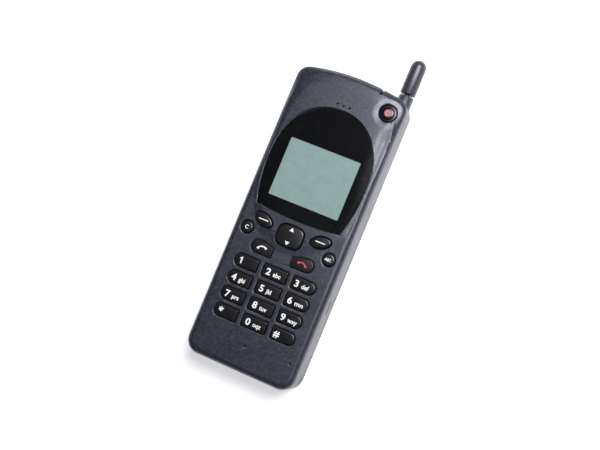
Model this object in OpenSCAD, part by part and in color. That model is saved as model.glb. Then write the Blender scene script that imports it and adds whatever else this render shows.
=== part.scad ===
// Early mobile handset with a pull-out antenna and a slide-off battery.
// It lies on its back: +Z out of the keypad, +Y towards the antenna, +X its right side.

/* [Body] */
// Width of the case
body_w = 56; // [55:1:70]
// Length of the case without the antenna
body_l = 149.4; // [148:0.1:180]
// Height of the keypad face above the back
face_z = 23.6; // [23:0.2:30]
// Height at which the front and rear covers meet
split_z = 13.5; // [13:0.1:14]
// Height of the crease where the side wall turns into the front bevel
crease_z = 20.1; // [19:0.1:20.8]
// Wall of the covers
wall = 1.6; // [1.2:0.05:2]
// Radius of the top edge
crown_r = 110; // [90:5:200]
// Corner radius at the antenna end
top_r = 6; // [5:0.5:8]
// Corner radius at the foot
foot_r = 7; // [5:0.5:9]
// How far the bevel draws the front face in
bevel_in = 2.6; // [1.5:0.1:3]
// How far the back edge is drawn in
back_in = 3; // [1:0.1:4]
// How far the display housing stands above the keypad face
pod_h = 1.2; // [0.5:0.1:2]

/* [Window and display] */
// Half width of the window
lens_a = 25.1; // [22:0.1:25.2]
// Distance of the window's centre from the top edge
lens_from_top = 48.4; // [47:0.1:50]
// Height of the window above its centre
lens_up = 30.8; // [28:0.2:32]
// Thickness of the window
lens_t = 1.2; // [0.8:0.1:1.4]
// Width of the clear part of the window
view_w = 35.8; // [30:0.2:38]
// Length of the clear part of the window
view_l = 29; // [24:0.2:31]
// Thickness of the display glass
glass_t = 1.8; // [1.2:0.1:2]

/* [Keypad] */
// Distance from one row of keys to the next
key_pitch = 8.4; // [8.2:0.1:10]
// Height of the lowest row of keys above the foot
key_row_y = 23.8; // [22:0.2:25]
// Distance of the outer key columns from the middle
key_col_x = 14.95; // [14.6:0.05:15.5]
// Width of a middle number key's hole
mid_key_w = 13; // [11:0.1:13.2]
// Width of an outer number key's hole
side_key_w = 12.5; // [11:0.1:12.8]
// Length of a number key's hole
key_l = 6.5; // [5.5:0.1:6.6]
// Gap around each key in its hole
key_gap = 0.22; // [0.15:0.01:0.4]
// How far a key stands above the face around it
key_up = 1; // [0.5:0.1:1.3]
// Travel of every key on the front
key_travel = 0.7; // [0.4:0.05:0.9]
// Tilt of the rocking key to each side, in degrees
nav_tilt = 4; // [2:0.5:4]

/* [Battery] */
// Length of the battery from the foot
battery_l = 97; // [92:1:100]
// Height of the seam between the battery and the side rails
seam_z = 7; // [6:0.1:7.5]
// Thickness of the battery's shell
battery_wall = 1.4; // [1:0.1:2]
// Travel of the battery's catch
latch_travel = 2; // [1:0.1:2.4]

/* [Antenna] */
// Diameter of the antenna's cap
cap_d = 7.5; // [6:0.1:8]
// Length of the antenna's cap
cap_l = 17.5; // [12:0.5:20]
// Diameter of the whip
whip_d = 2.2; // [1.6:0.1:3]
// Radial clearance of the whip in its collar
whip_gap = 0.08; // [0.03:0.01:0.1]
// How far the antenna pulls out
antenna_travel = 31; // [20:1:31]

/* [Boards] */
// Thickness of the main board
board_t = 1.2; // [0.8:0.1:1.6]
// Thickness of the keypad board
pad_board_t = 1; // [0.8:0.1:1.2]
// Diameter of the charger socket
socket_d = 3.6; // [3:0.1:4.2]

/* [Hidden] */
$fn = 48;

// thin slice used as one level of a hulled shell
eps = 0.01;
// fit clearances between pieces that only lie side by side
fit = 0.1;
side_x = body_w / 2;
lens_y = body_l - lens_from_top;
ear_y = body_l - 15.4;

// antenna
cap_r = cap_d / 2;
collar_r = cap_r - 0.1;
ferrule_r = 2.6;
antenna_x = side_x - 4.7;
antenna_z = 9.5;
collar_top = body_l + 1.6;
collar_step = body_l - 10.3;
ferrule_y = body_l - 15.4;
cap_y = collar_top + 1;
antenna_tip = cap_y + cap_l;

// volume keys
nub_out = 0.8;
nub_travel = 0.5;
nub_l = 6;
nub_h = 2.2;
nub_z = 17;
volume_y = [body_l - 29.4, body_l - 39.4];

// heights, from the back up to the main board
bay_z = 10;
floor_t = 1.4;
board_z = 14;
board_top = board_z + board_t;
// heights, from the face down to the keypad board
inner_z = face_z - wall;
pod_z = face_z + pod_h;
flange_gap = 0.2;
flange_t = 0.7;
flange_z = inner_z - flange_gap - flange_t;
mat_t = 0.6;
mat_z = flange_z - key_travel - 0.2 - mat_t;
pad_board_z = mat_z - pad_board_t;
pill_z = mat_z + 0.1 + key_travel;
chassis_t = 1;
chassis_z = pad_board_z - chassis_t;
mask_t = 0.2;
lens_z = pod_z - 0.1 - lens_t;
mask_z = lens_z - mask_t;

// display stack
glass_w = view_w + 5.4;
glass_l = view_l + 8;
view_y = lens_y - 3.5;
glass_z = inner_z - 0.1 - glass_t;
frame_wall = 2.6;
frame_z = glass_z - 2.6;

// keys
flange_out = 0.6;
pill_r = 1.9;
number_names = ["key_1", "key_2", "key_3", "key_4", "key_5", "key_6",
                "key_7", "key_8", "key_9", "key_star", "key_0", "key_hash"];
call_y = key_row_y + 3 * key_pitch + 5.8;
nav_y = call_y + 12.95;
// the rocking key's flange hangs lower, and a pill stands under each end
nav_flange_z = flange_z - 0.3;
nav_pill_y = 4.2;
nav_pill_z = mat_z + 0.1 + (nav_pill_y + pill_r) * sin(nav_tilt);
soft_y = call_y + 15.8;
round_y = call_y + 9.8;
soft_x = 14.7;
round_x = 21.2;
power_x = side_x - 7.3;
power_y = body_l - 11.1;
power_r = 4.3;
power_flange_z = crease_z - 0.7;

// battery bay
bay_end = battery_l + 0.3;
rail_z = seam_z + 0.2;
rail_t = 1.2;
rail_y = 8;
lid_z = rail_z + rail_t + 0.3;
lid_top = bay_z - 0.3;
slide_gap = 0.3;

// fasteners: [x, y, height of the head's seat]
screw_r = 0.95;
boss_r = 2.4;
low_x = side_x - wall - 3;
screws = [
    [low_x, 16, bay_z + 1.6], [-low_x, 16, bay_z + 1.6],
    [low_x, 73.5, bay_z + 1.6], [-low_x, 73.5, bay_z + 1.6],
    [17, body_l - 24, 3], [-17, body_l - 24, 3]
];

// foot connector
plug_w = 34;
plug_l = 9.4;
plug_z = bay_z + floor_t + 0.2;
plug_h = 5.6;
slot_w = 20;
slot_h = 4.6;
slot_x = -14;
slot_deep = 7;
socket_x = 11.5;

// SIM
sim_w = 25;
sim_l = 15;
sim_t = 0.8;
sim_y = 42;
sim_z = bay_z + floor_t + 0.6;

// moves the drawing, whose foot is at y = 0, so that the origin is below the middle of the box
module place() {
    translate([nub_out / 2, -antenna_tip / 2, 0]) children();
}

function arc(c, r, a0, a1, n) =
    [for (i = [0:n]) c + r * [cos(a0 + (a1 - a0) * i / n), sin(a0 + (a1 - a0) * i / n)]];

// outline of the case, drawn in by d
function case_outline(d) =
    let (cx = side_x - top_r, rise = sqrt(pow(crown_r - top_r, 2) - cx * cx),
         crown_y = body_l - crown_r, turn = atan2(rise, cx), fx = side_x - foot_r)
    concat(
        arc([fx, foot_r], foot_r - d, -90, 0, 8),
        arc([cx, crown_y + rise], top_r - d, 0, turn, 8),
        arc([0, crown_y], crown_r - d, turn, 180 - turn, 16),
        arc([-cx, crown_y + rise], top_r - d, 180 - turn, 180, 8),
        arc([-fx, foot_r], foot_r - d, 180, 270, 8)
    );

function signed_power(v, p) = sign(v) * pow(abs(v), p);

// superellipse of half axes a and b, over a range of angles
function superellipse(a, b, e, a0, a1, n) =
    [for (i = [0:n]) let (t = a0 + (a1 - a0) * i / n)
        [a * signed_power(cos(t), 2 / e), b * signed_power(sin(t), 2 / e)]];

// window: a round head over sides that draw in to a nearly straight lower edge
lens_down = 45.6;
lens_side = 24;
lens_sag = 1.5;
function lens_outline(d) =
    let (a = lens_a - d, turn = asin(lens_side / lens_down), x = a * cos(turn),
         r = (x * x + lens_sag * lens_sag) / (2 * lens_sag), half = asin(x / r),
         cy = -lens_side - lens_sag + r + d)
    [for (p = concat(
        superellipse(a, lens_up - d, 2.2, 0, 180, 32),
        [for (i = [1:7]) [-a * cos(turn * i / 8), -lens_down * sin(turn * i / 8)]],
        [for (i = [0:8]) let (t = -half + 2 * half * i / 8) [r * sin(t), cy - r * cos(t)]],
        [for (i = [1:7]) [a * cos(turn * (8 - i) / 8), -lens_down * sin(turn * (8 - i) / 8)]]
    )) p + [0, lens_y]];

// display housing: a broad tear drop
pod_a = 27.5;
pod_up = 41.7;
pod_down = 45;
function pod_outline() =
    [for (p = concat(
        superellipse(pod_a, pod_up, 2.5, 0, 180, 32),
        superellipse(pod_a, pod_down, 2.2, 186, 354, 30)
    )) p + [0, lens_y + 4]];

module slab(d, z0, z1) {
    translate([0, 0, z0]) linear_extrude(z1 - z0) polygon(case_outline(d));
}

module block(x0, x1, y0, y1, z0, z1) {
    translate([x0, y0, z0]) cube([x1 - x0, y1 - y0, z1 - z0]);
}

module pin(x, y, z0, z1, r) {
    translate([x, y, z0]) cylinder(r = r, h = z1 - z0);
}

// cylinder along Y
module rod(x, z, y0, y1, r) {
    translate([x, y0, z]) rotate([-90, 0, 0]) cylinder(r = r, h = y1 - y0);
}

module rounded(w, l, r) {
    square([w - 2 * r, l], center = true);
    square([w, l - 2 * r], center = true);
    for (x = [-1, 1], y = [-1, 1]) translate([x * (w / 2 - r), y * (l / 2 - r)]) circle(r);
}

module plate(x, y, w, l, r, z0, z1) {
    translate([x, y, z0]) linear_extrude(z1 - z0) rounded(w, l, r);
}

module mirror_pair() {
    children();
    mirror([1, 0, 0]) children();
}

// ---- covers ----

module front_body(d) {
    hull() {
        slab(d, split_z - (d > 0 ? 1 : 0), crease_z);
        slab(0.8 + d, (crease_z + face_z) / 2, (crease_z + face_z) / 2 + eps);
        slab(bevel_in + d * 0.5, face_z - d - eps, face_z - d);
    }
}

module rear_body(d) {
    hull() {
        slab(d, 5, split_z + (d > 0 ? 1 : 0));
        slab(0.9 + d, 1.6 + d * 0.4, 2 + d * 0.4);
        slab(back_in + d * 0.5, d, d + eps);
    }
}

module front_cover() {
    color([0.29, 0.30, 0.34]) place() difference() {
        union() {
            difference() {
                front_body(0);
                front_body(wall);
            }
            intersection() {
                translate([0, 0, inner_z]) linear_extrude(wall + pod_h) polygon(pod_outline());
                slab(bevel_in, inner_z, pod_z);
            }
            for (s = screws) pin(s[0], s[1], board_top, inner_z + 0.2, boss_r);
        }
        for (s = screws) pin(s[0], s[1], board_top - 1, inner_z - 1, screw_r);
        all_key_holes();
        translate([0, 0, mask_z]) linear_extrude(5) polygon(lens_outline(-fit));
        plate(0, view_y, view_w + 2.6, view_l + 2.6, 1, inner_z - 1, pod_z);
        for (i = [-1:1]) pin(3.05 * i, ear_y, inner_z - 1, pod_z + 1, 0.5);
        pin(0, 11.9, inner_z - 1, face_z + 1, 0.5);
        pin(22.7, 13.4, inner_z - 1, face_z + 1, 0.4);
        // slots for the volume keys
        for (y = volume_y)
            block(-side_x - 1, -side_x + wall + 1, y - nub_l / 2 - key_gap, y + nub_l / 2 + key_gap,
                nub_z - nub_h / 2 - key_gap, nub_z + nub_h / 2 + key_gap);
        // foot connector's window, strap notch in the top edge and grip slot in the right side
        block(-plug_w / 2 - fit, plug_w / 2 + fit, -1, plug_l, split_z - 1, plug_z + plug_h + fit);
        block(13.2, 14.8, body_l - 3.2, body_l + 1, split_z + 1, pod_z + 1);
        block(side_x - 1, side_x + 1, 40.4, 46.9, split_z - 1, split_z + 0.7);
    }
}

module rear_cover() {
    color([0.27, 0.28, 0.32]) place() difference() {
        union() {
            difference() {
                rear_body(0);
                // battery space, between the rails and below them
                block(-side_x - 1, side_x + 1, -1, bay_end, -1, rail_z);
                block(-side_x + wall + rail_t, side_x - wall - rail_t, -1, bay_end, -1, bay_z);
                block(-side_x + wall, side_x - wall, -1, bay_end, rail_z + rail_t, bay_z);
                block(-side_x - 1, side_x + 1, -1, rail_y, -1, bay_z);
                // room above the bay's floor and in the upper housing
                slab(wall, bay_z + floor_t, split_z + 1);
                intersection() {
                    rear_body(wall);
                    block(-side_x, side_x, bay_end + wall, body_l, 0, split_z + 1);
                }
            }
            // each boss is slimmer where it stands inside the front cover
            for (s = screws) {
                pin(s[0], s[1], s[2] > bay_z ? bay_z + 0.1 : 1, split_z, boss_r + 0.8);
                pin(s[0], s[1], split_z - eps, board_z, boss_r + 0.4);
            }
            intersection() {
                rod(antenna_x, antenna_z, ferrule_y - 1, body_l, collar_r + 0.7);
                slab(0, 0, split_z);
            }
            block(-3, 3, latch_back + 5.8, latch_back + 7, wall - 0.1, 4.6);
        }
        for (s = screws) {
            pin(s[0], s[1], -1, board_z + 1, screw_r + 0.1);
            pin(s[0], s[1], -1, s[2], 2.1);
        }
        rod(antenna_x, antenna_z, ferrule_y - 2, body_l + 1, ferrule_r + 0.05);
        rod(antenna_x, antenna_z, collar_step, body_l + 1, collar_r + 0.05);
        // catch window and tooth opening
        block(-8, 8, bay_end + wall, latch_back + latch_travel + 0.3, -1, wall + 0.2);
        block(-tooth_w / 2 - 0.3, tooth_w / 2 + 0.3, bay_end - 1, bay_end + wall + 1,
            latch_z - 0.2, latch_z + 1.6);
        // windows for the battery springs and the SIM
        block(-11.5, 11.5, battery_l - 13, battery_l - 3, bay_z - 1, bay_z + floor_t + 1);
        block(-13.8, 13.8, sim_y - 15, sim_y + 16, bay_z - 1, bay_z + floor_t + 1);
        // foot connector's window
        block(-plug_w / 2 - fit, plug_w / 2 + fit, -1, plug_l, plug_z - fit, split_z + 1);
        block(side_x - 1, side_x + 1, 40.4, 46.9, split_z - 0.7, split_z + 1);
    }
}

// ---- window and display ----

module display_window() {
    color([0.08, 0.08, 0.10, 0.5]) place()
        translate([0, 0, lens_z]) linear_extrude(lens_t) polygon(lens_outline(0));
}

module window_mask() {
    color([0.03, 0.03, 0.04]) place() difference() {
        translate([0, 0, mask_z]) linear_extrude(mask_t) polygon(lens_outline(0.2));
        plate(0, view_y, view_w, view_l, 0.6, mask_z - 1, mask_z + 1);
    }
}

// glass with the front polariser on it, which reaches up to the window
module lcd_glass() {
    color([0.60, 0.68, 0.64]) place() {
        block(-glass_w / 2, glass_w / 2, view_y - glass_l / 2, view_y + glass_l / 2,
            glass_z, glass_z + glass_t);
        plate(0, view_y, view_w + 1.8, view_l + 1.8, 0.3, glass_z + glass_t - eps, mask_z - fit);
    }
}

strip_y = view_y - glass_l / 2 + 1.4;

module lcd_frame() {
    w = glass_w + 2 * frame_wall;
    l = glass_l + 2 * frame_wall - 2.4;
    color([0.85, 0.85, 0.82]) place() difference() {
        plate(0, view_y, w, l, 1.2, frame_z, glass_z + glass_t);
        block(-glass_w / 2 - fit, glass_w / 2 + fit, view_y - glass_l / 2 - fit,
            view_y + glass_l / 2 + fit, glass_z - fit, glass_z + 5);
        plate(0, view_y + 1.6, view_w + 2 + 2 * fit, glass_l - 3.6, 0.4, frame_z + 1, glass_z + 1);
        block(-17.3, 17.3, strip_y - 0.9, strip_y + 0.9, frame_z - 1, glass_z + 1);
    }
}

module light_guide() {
    color([0.85, 0.95, 0.80, 0.8]) place()
        plate(0, view_y + 1.6, view_w + 2, glass_l - 4, 0.4, frame_z + 1.1, glass_z - 0.2);
}

module lcd_connector_strip() {
    color([0.15, 0.15, 0.15]) place()
        block(-17, 17, strip_y - 0.75, strip_y + 0.75, board_top, glass_z);
}

// ---- keys ----

// outlines of the front keys, grown by d
module key_middle_2d(d) {
    rounded(mid_key_w + 2 * d, key_l + 2 * d, 0.8 + d);
}

module key_side_2d(d) {
    r = key_l / 2 + d;
    inner = -side_key_w / 2 - d;
    translate([side_key_w / 2 - key_l / 2, 0]) circle(r);
    difference() {
        translate([inner, -r]) square([side_key_w - key_l / 2 + d, 2 * r]);
        for (y = [-1, 1]) translate([inner, y * r]) square(1.6, center = true);
    }
    for (y = [-1, 1]) translate([inner + 0.8, y * (r - 0.8)]) circle(0.8);
}

module call_key_2d(d) {
    // inner end straight, top rising to its peak, outer end round
    w = 11.4;
    l = 6.7;
    peak = 4.2;
    intersection() {
        translate([-w / 2 - d, -l / 2 - d]) square([w + 2 * d, l + 2 * d]);
        union() {
            translate([w / 2 - l / 2, 0]) circle(l / 2 + d);
            polygon(concat(
                [[-w / 2 - d, -l / 2 - d], [w / 2 - l / 2, -l / 2 - d]],
                [for (i = [0:6]) [w / 2 - l / 2 - i * 1.35 - (i == 6 ? d : 0),
                    l / 2 + d - 1.6 * pow(i / 6, 2)]]
            ));
        }
    }
}

module navigation_2d(d) {
    rounded(14.4 + 2 * d, 11.5 + 2 * d, 2.6 + d);
}

module soft_2d(d) {
    rotate(20) polygon(superellipse(5.3 + d, 3.1 + d, 2, 0, 350, 35));
}

module key_hole(x, y) {
    translate([x, y, inner_z - 3]) linear_extrude(10) children();
}

module all_key_holes() {
    for (i = [0:3]) {
        y = key_row_y + i * key_pitch;
        key_hole(0, y) key_middle_2d(0);
        mirror_pair() key_hole(key_col_x, y) key_side_2d(0);
    }
    mirror_pair() {
        key_hole(10.5, call_y + 3.35) call_key_2d(0);
        key_hole(soft_x, soft_y) soft_2d(0);
        key_hole(round_x, round_y) circle(3.35);
    }
    key_hole(0, nav_y) navigation_2d(0);
    key_hole(power_x, power_y) circle(power_r);
}

// moulded key: cap in its hole, flange under the cover and a contact pill
module key_body(x, y, top_z) {
    translate([x, y, flange_z + flange_t - eps])
        linear_extrude(top_z - 0.4 - flange_z - flange_t + eps) children(0);
    translate([x, y, top_z - 0.4]) linear_extrude(0.4) children(1);
    translate([x, y, flange_z]) linear_extrude(flange_t) children(2);
    pin(x, y, pill_z, flange_z + eps, pill_r);
}

module number_key(i) {
    row = 3 - floor(i / 3);
    column = i % 3 - 1;
    y = key_row_y + row * key_pitch;
    color([0.07, 0.07, 0.08]) place() {
        if (column == 0)
            key_body(0, y, face_z + key_up) {
                key_middle_2d(-key_gap);
                key_middle_2d(-key_gap - 0.4);
                key_middle_2d(flange_out - key_gap);
            }
        else
            mirror([column < 0 ? 1 : 0, 0, 0]) key_body(key_col_x, y, face_z + key_up) {
                key_side_2d(-key_gap);
                key_side_2d(-key_gap - 0.4);
                key_side_2d(flange_out - key_gap);
            }
    }
}

module call_key(side) {
    color([0.07, 0.07, 0.08]) place() mirror([side < 0 ? 1 : 0, 0, 0])
        key_body(10.5, call_y + 3.35, face_z + key_up) {
            call_key_2d(-key_gap);
            call_key_2d(-key_gap - 0.4);
            call_key_2d(flange_out - key_gap);
        }
}

module navigation_key() {
    top_z = face_z + 1.4;
    color([0.07, 0.07, 0.08]) place() translate([0, nav_y, 0]) {
        translate([0, 0, nav_flange_z + flange_t - eps])
            linear_extrude(top_z - 0.4 - nav_flange_z - flange_t + eps) navigation_2d(-key_gap);
        translate([0, 0, top_z - 0.4]) linear_extrude(0.4) navigation_2d(-key_gap - 0.4);
        translate([0, 0, nav_flange_z])
            linear_extrude(flange_t) navigation_2d(flange_out - key_gap);
        for (y = [-nav_pill_y, nav_pill_y])
            pin(0, y, nav_pill_z, nav_flange_z + eps, pill_r);
    }
}

module soft_key(side) {
    color([0.07, 0.07, 0.08]) place() mirror([side < 0 ? 1 : 0, 0, 0])
        key_body(soft_x, soft_y, face_z + key_up + 0.3) {
            soft_2d(-key_gap);
            soft_2d(-key_gap - 0.4);
            soft_2d(flange_out - key_gap);
        }
}

module round_key(side) {
    color([0.07, 0.07, 0.08]) place() key_body(side * round_x, round_y, face_z + 0.6) {
        circle(3.35 - key_gap);
        circle(2.95 - key_gap);
        circle(3.35 + flange_out - key_gap);
    }
}

module power_button() {
    stem_z = board_top + 0.9 + key_travel + 0.1;
    color([0.08, 0.08, 0.09]) place() {
        pin(power_x, power_y, power_flange_z - eps, face_z - 0.4, power_r - key_gap);
        translate([power_x, power_y, face_z - 0.4 - eps])
            cylinder(r1 = power_r - key_gap, r2 = 3, h = 0.9);
        pin(power_x, power_y, power_flange_z - 0.7, power_flange_z, power_r + 0.3);
        pin(power_x, power_y, stem_z, power_flange_z - 0.7 + eps, 1.2);
    }
}

module volume_key(i) {
    y = volume_y[i];
    inner_x = -side_x + wall + 0.2;
    color([0.07, 0.07, 0.08]) place() {
        block(-side_x - nub_out, inner_x + eps, y - nub_l / 2, y + nub_l / 2,
            nub_z - nub_h / 2, nub_z + nub_h / 2);
        block(inner_x, inner_x + 0.6, y - nub_l / 2 - 0.7, y + nub_l / 2 + 0.7,
            nub_z - nub_h / 2 - 0.5, nub_z + nub_h / 2 + 0.5);
    }
}

// every front key's centre, for pills and contacts
key_centres = concat(
    [for (i = [0:3], x = [-key_col_x, 0, key_col_x]) [x, key_row_y + i * key_pitch]],
    [[-10.5, call_y + 3.35], [10.5, call_y + 3.35], [0, nav_y - nav_pill_y],
     [0, nav_y + nav_pill_y], [-soft_x, soft_y], [soft_x, soft_y],
     [-round_x, round_y], [round_x, round_y]]
);
led_places = concat(
    [for (i = [0:3], x = [-7.6, 7.6]) [x, key_row_y + (i + 0.5) * key_pitch]],
    [[-8.6, nav_y + 3.4], [8.6, nav_y + 3.4]]
);

module keypad_mat() {
    color([0.55, 0.57, 0.55]) place() difference() {
        intersection() {
            slab(wall + 2, mat_z, mat_z + mat_t);
            block(-side_x, side_x, key_row_y - 5, nav_y + 7.6, 0, face_z);
        }
        for (c = key_centres) pin(c[0], c[1], mat_z - 1, mat_z + 2, pill_r + 0.35);
        for (p = led_places)
            block(p[0] - 1, p[0] + 1, p[1] - 0.7, p[1] + 0.7, mat_z - 1, mat_z + 2);
        for (s = screws) pin(s[0], s[1], mat_z - 1, mat_z + 2, boss_r + 0.3);
    }
}

module keypad_board() {
    color([0.10, 0.35, 0.18]) place() difference() {
        intersection() {
            slab(wall + 2, pad_board_z, mat_z);
            block(-side_x, side_x, 4.4, nav_y + 8.6, 0, face_z);
        }
        for (s = screws) pin(s[0], s[1], pad_board_z - 1, mat_z + 1, boss_r + 0.3);
    }
}

module backlight_leds() {
    color([0.95, 0.95, 0.70]) place() for (p = led_places)
        block(p[0] - 0.8, p[0] + 0.8, p[1] - 0.4, p[1] + 0.4, mat_z, mat_z + 0.5);
}

module key_switches() {
    color([0.75, 0.75, 0.78]) place() {
        plate(power_x, power_y, 4.4, 4.4, 0.4, board_top, board_top + 0.9);
        for (y = volume_y)
            block(-side_x + wall + 0.9 + nub_travel, -side_x + wall + 2.5, y - 2, y + 2,
                board_top, nub_z + 1.2);
    }
}

// ---- inner structure and boards ----

connector_y = call_y + 6;

module chassis_frame() {
    color([0.70, 0.71, 0.70]) place() difference() {
        union() {
            intersection() {
                slab(wall + 0.6, chassis_z, pad_board_z);
                block(-side_x, side_x, 2.6, nav_y + 8.6, 0, face_z);
            }
            for (x = [-19, 19], y = [key_row_y, round_y]) pin(x, y, board_top, chassis_z + eps, 1.5);
        }
        for (s = screws) pin(s[0], s[1], chassis_z - 1, pad_board_z + 1, boss_r + 0.3);
        plate(0, connector_y, 19, 6, 0.6, chassis_z - 1, pad_board_z + 1);
        for (i = [0:2]) plate(0, 24 + 11 * i, 30, 6, 2, chassis_z - 1, pad_board_z + 1);
    }
}

module main_board() {
    color([0.08, 0.32, 0.16]) place() difference() {
        slab(wall + 1.6, board_z, board_top);
        block(-plug_w / 2 - 0.2, plug_w / 2 + 0.2, 0, plug_l + 1, board_z - 1, board_top + 1);
        for (s = screws) pin(s[0], s[1], board_z - 1, board_top + 1, screw_r + 0.2);
    }
}

module shield_can(x0, x1, y0, y1, z0, z1, up) {
    skin = 0.3;
    difference() {
        block(x0, x1, y0, y1, z0, z1);
        block(x0 + skin, x1 - skin, y0 + skin, y1 - skin,
            up ? z0 - 1 : z0 + skin, up ? z1 - skin : z1 + 1);
        for (i = [0:4], j = [0:2])
            pin(x0 + (i + 1) * (x1 - x0) / 6, y0 + (j + 1) * (y1 - y0) / 4, z0 - 1, z1 + 1, 0.6);
    }
}

module logic_shield() {
    color([0.78, 0.79, 0.80]) place()
        shield_can(-21.5, 21.5, strip_y + 2, view_y + glass_l / 2, board_top, frame_z - 0.1, true);
}

shield_y = bay_end + wall + 1;

module rf_shield() {
    color([0.78, 0.79, 0.80]) place()
        shield_can(-side_x + 4.6, antenna_x - 3.2, shield_y, shield_y + 18, 9, board_z, false);
}

module board_chips() {
    color([0.12, 0.12, 0.13]) place() {
        for (c = [[-10, 22, 12, 12], [8, 24, 9, 7], [-11, 40, 8, 10], [5, 42, 14, 10]])
            plate(c[0], c[1], c[2], c[3], 0.4, board_top, board_top + 1.4);
        for (c = [[-12, 62.5, 10, 7], [4, 62.5, 12, 7], [17, 62.5, 6, 6]])
            plate(c[0], c[1], c[2], c[3], 0.4, board_z - 1.4, board_z);
    }
}

module board_connector() {
    color([0.90, 0.88, 0.78]) place()
        plate(0, connector_y, 16, 4, 0.4, board_top, pad_board_z);
}

module earpiece() {
    color([0.30, 0.30, 0.32]) place() {
        pin(0, ear_y, inner_z - 3.6, inner_z - 0.3, 6.5);
        for (x = [-2.5, 2.5]) block(x - 0.6, x + 0.6, ear_y - 4, ear_y + 1, board_top, inner_z - 3.59);
    }
}

module earpiece_gasket() {
    color([0.12, 0.12, 0.12]) place() difference() {
        pin(0, ear_y, inner_z - 0.3, inner_z, 5.4);
        pin(0, ear_y, inner_z - 1, inner_z + 1, 4.2);
    }
}

mic_r = 3;

module microphone() {
    color([0.70, 0.70, 0.72]) place() pin(0, 11.9, mat_z, inner_z - 0.4, mic_r);
}

module microphone_boot() {
    color([0.10, 0.10, 0.10]) place() difference() {
        pin(0, 11.9, mat_z, inner_z, mic_r + 0.9);
        pin(0, 11.9, mat_z - 1, inner_z - 0.4, mic_r);
        pin(0, 11.9, mat_z, inner_z + 1, 1);
    }
}

module buzzer() {
    color([0.15, 0.15, 0.16]) place() difference() {
        pin(-8, ear_y, board_z - 6, board_z, 7);
        pin(-8, ear_y, board_z - 7, board_z - 5, 1.2);
    }
}

// ---- antenna ----

whip_y = bay_end + wall + 1;
whip_stop = 1.5;

module antenna_cap() {
    color([0.16, 0.17, 0.19]) place() difference() {
        translate([antenna_x, cap_y, antenna_z]) rotate([-90, 0, 0]) rotate_extrude() union() {
            translate([0, 0.6]) square([cap_r, cap_l - cap_r - 0.6]);
            polygon([[0, 0], [cap_r - 0.6, 0], [cap_r, 0.6], [0, 0.6]]);
            translate([0, cap_l - cap_r]) intersection() {
                circle(cap_r);
                square(cap_r);
            }
        }
        rod(antenna_x, antenna_z, cap_y - 1, cap_y + cap_l - cap_r, whip_d / 2);
    }
}

module antenna_whip() {
    color([0.12, 0.12, 0.13]) place() {
        rod(antenna_x, antenna_z, whip_y, cap_y + cap_l - cap_r, whip_d / 2);
        rod(antenna_x, antenna_z, whip_y, whip_y + whip_stop, whip_d / 2 + 0.5);
    }
}

module antenna_collar() {
    color([0.24, 0.25, 0.28]) place() difference() {
        union() {
            rod(antenna_x, antenna_z, ferrule_y, collar_step + eps, ferrule_r);
            rod(antenna_x, antenna_z, collar_step, collar_top, collar_r);
        }
        rod(antenna_x, antenna_z, ferrule_y - 1, collar_top + 1, whip_d / 2 + whip_gap);
    }
}

module antenna_clip() {
    clip_z = antenna_z + collar_r + 0.75;
    color([0.85, 0.70, 0.35]) place() difference() {
        block(antenna_x - 2, antenna_x + 2, ferrule_y - 8, ferrule_y - 1.2,
            antenna_z - 1.2, board_z);
        block(antenna_x - 1.6, antenna_x + 1.6, ferrule_y - 9, ferrule_y - 1,
            antenna_z - 2, clip_z - 0.2);
    }
}

// ---- battery and its catch ----

module battery_case() {
    inner_x = side_x - wall - rail_t - slide_gap;
    color([0.26, 0.27, 0.31]) place() difference() {
        union() {
            intersection() {
                rear_body(0);
                block(-side_x, side_x, 0, battery_l, 0, seam_z);
            }
            intersection() {
                slab(0.2, seam_z - eps, lid_z);
                union() {
                    block(-inner_x, inner_x, 0, battery_l, 0, lid_z);
                    block(-side_x, side_x, 0, rail_y - slide_gap, 0, lid_z);
                }
            }
        }
        block(-inner_x + battery_wall, inner_x - battery_wall,
            foot_r - 2, battery_l - battery_wall, battery_wall, lid_z + 1);
        // pocket for the catch
        block(-tooth_w / 2 - 0.4, tooth_w / 2 + 0.4, battery_l - battery_wall - 1, battery_l + 1,
            latch_z - 0.4, latch_z + 1.8);
    }
}

module battery_lid() {
    edge_x = side_x - wall - slide_gap;
    color([0.20, 0.21, 0.24]) place() difference() {
        intersection() {
            slab(0.2, lid_z, lid_top);
            union() {
                block(-edge_x, edge_x, 0, battery_l, 0, bay_z);
                block(-side_x, side_x, 0, rail_y - slide_gap, 0, bay_z);
            }
        }
        for (x = contact_x)
            block(x - 2, x + 2, battery_l - 11, battery_l - 5, lid_top - 0.3, lid_top + 1);
    }
}

contact_x = [-9, -3, 3, 9];

module battery_cells() {
    inner_x = side_x - wall - rail_t - slide_gap - battery_wall - 0.2;
    y0 = foot_r - 1.8;
    y1 = battery_l - battery_wall - 2.2;
    w = 2 * inner_x / 3;
    l = (y1 - y0) / 2;
    color([0.30, 0.50, 0.62]) place() for (i = [0:2], j = [0:1])
        plate(-inner_x + (i + 0.5) * w, y0 + (j + 0.5) * l, w - 0.3, l - 0.4, 1,
            battery_wall, lid_z - 0.3);
}

module battery_contacts() {
    color([0.86, 0.72, 0.35]) place() for (x = contact_x)
        block(x - 2, x + 2, battery_l - 11, battery_l - 5, lid_top - 0.3, lid_top);
}

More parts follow.
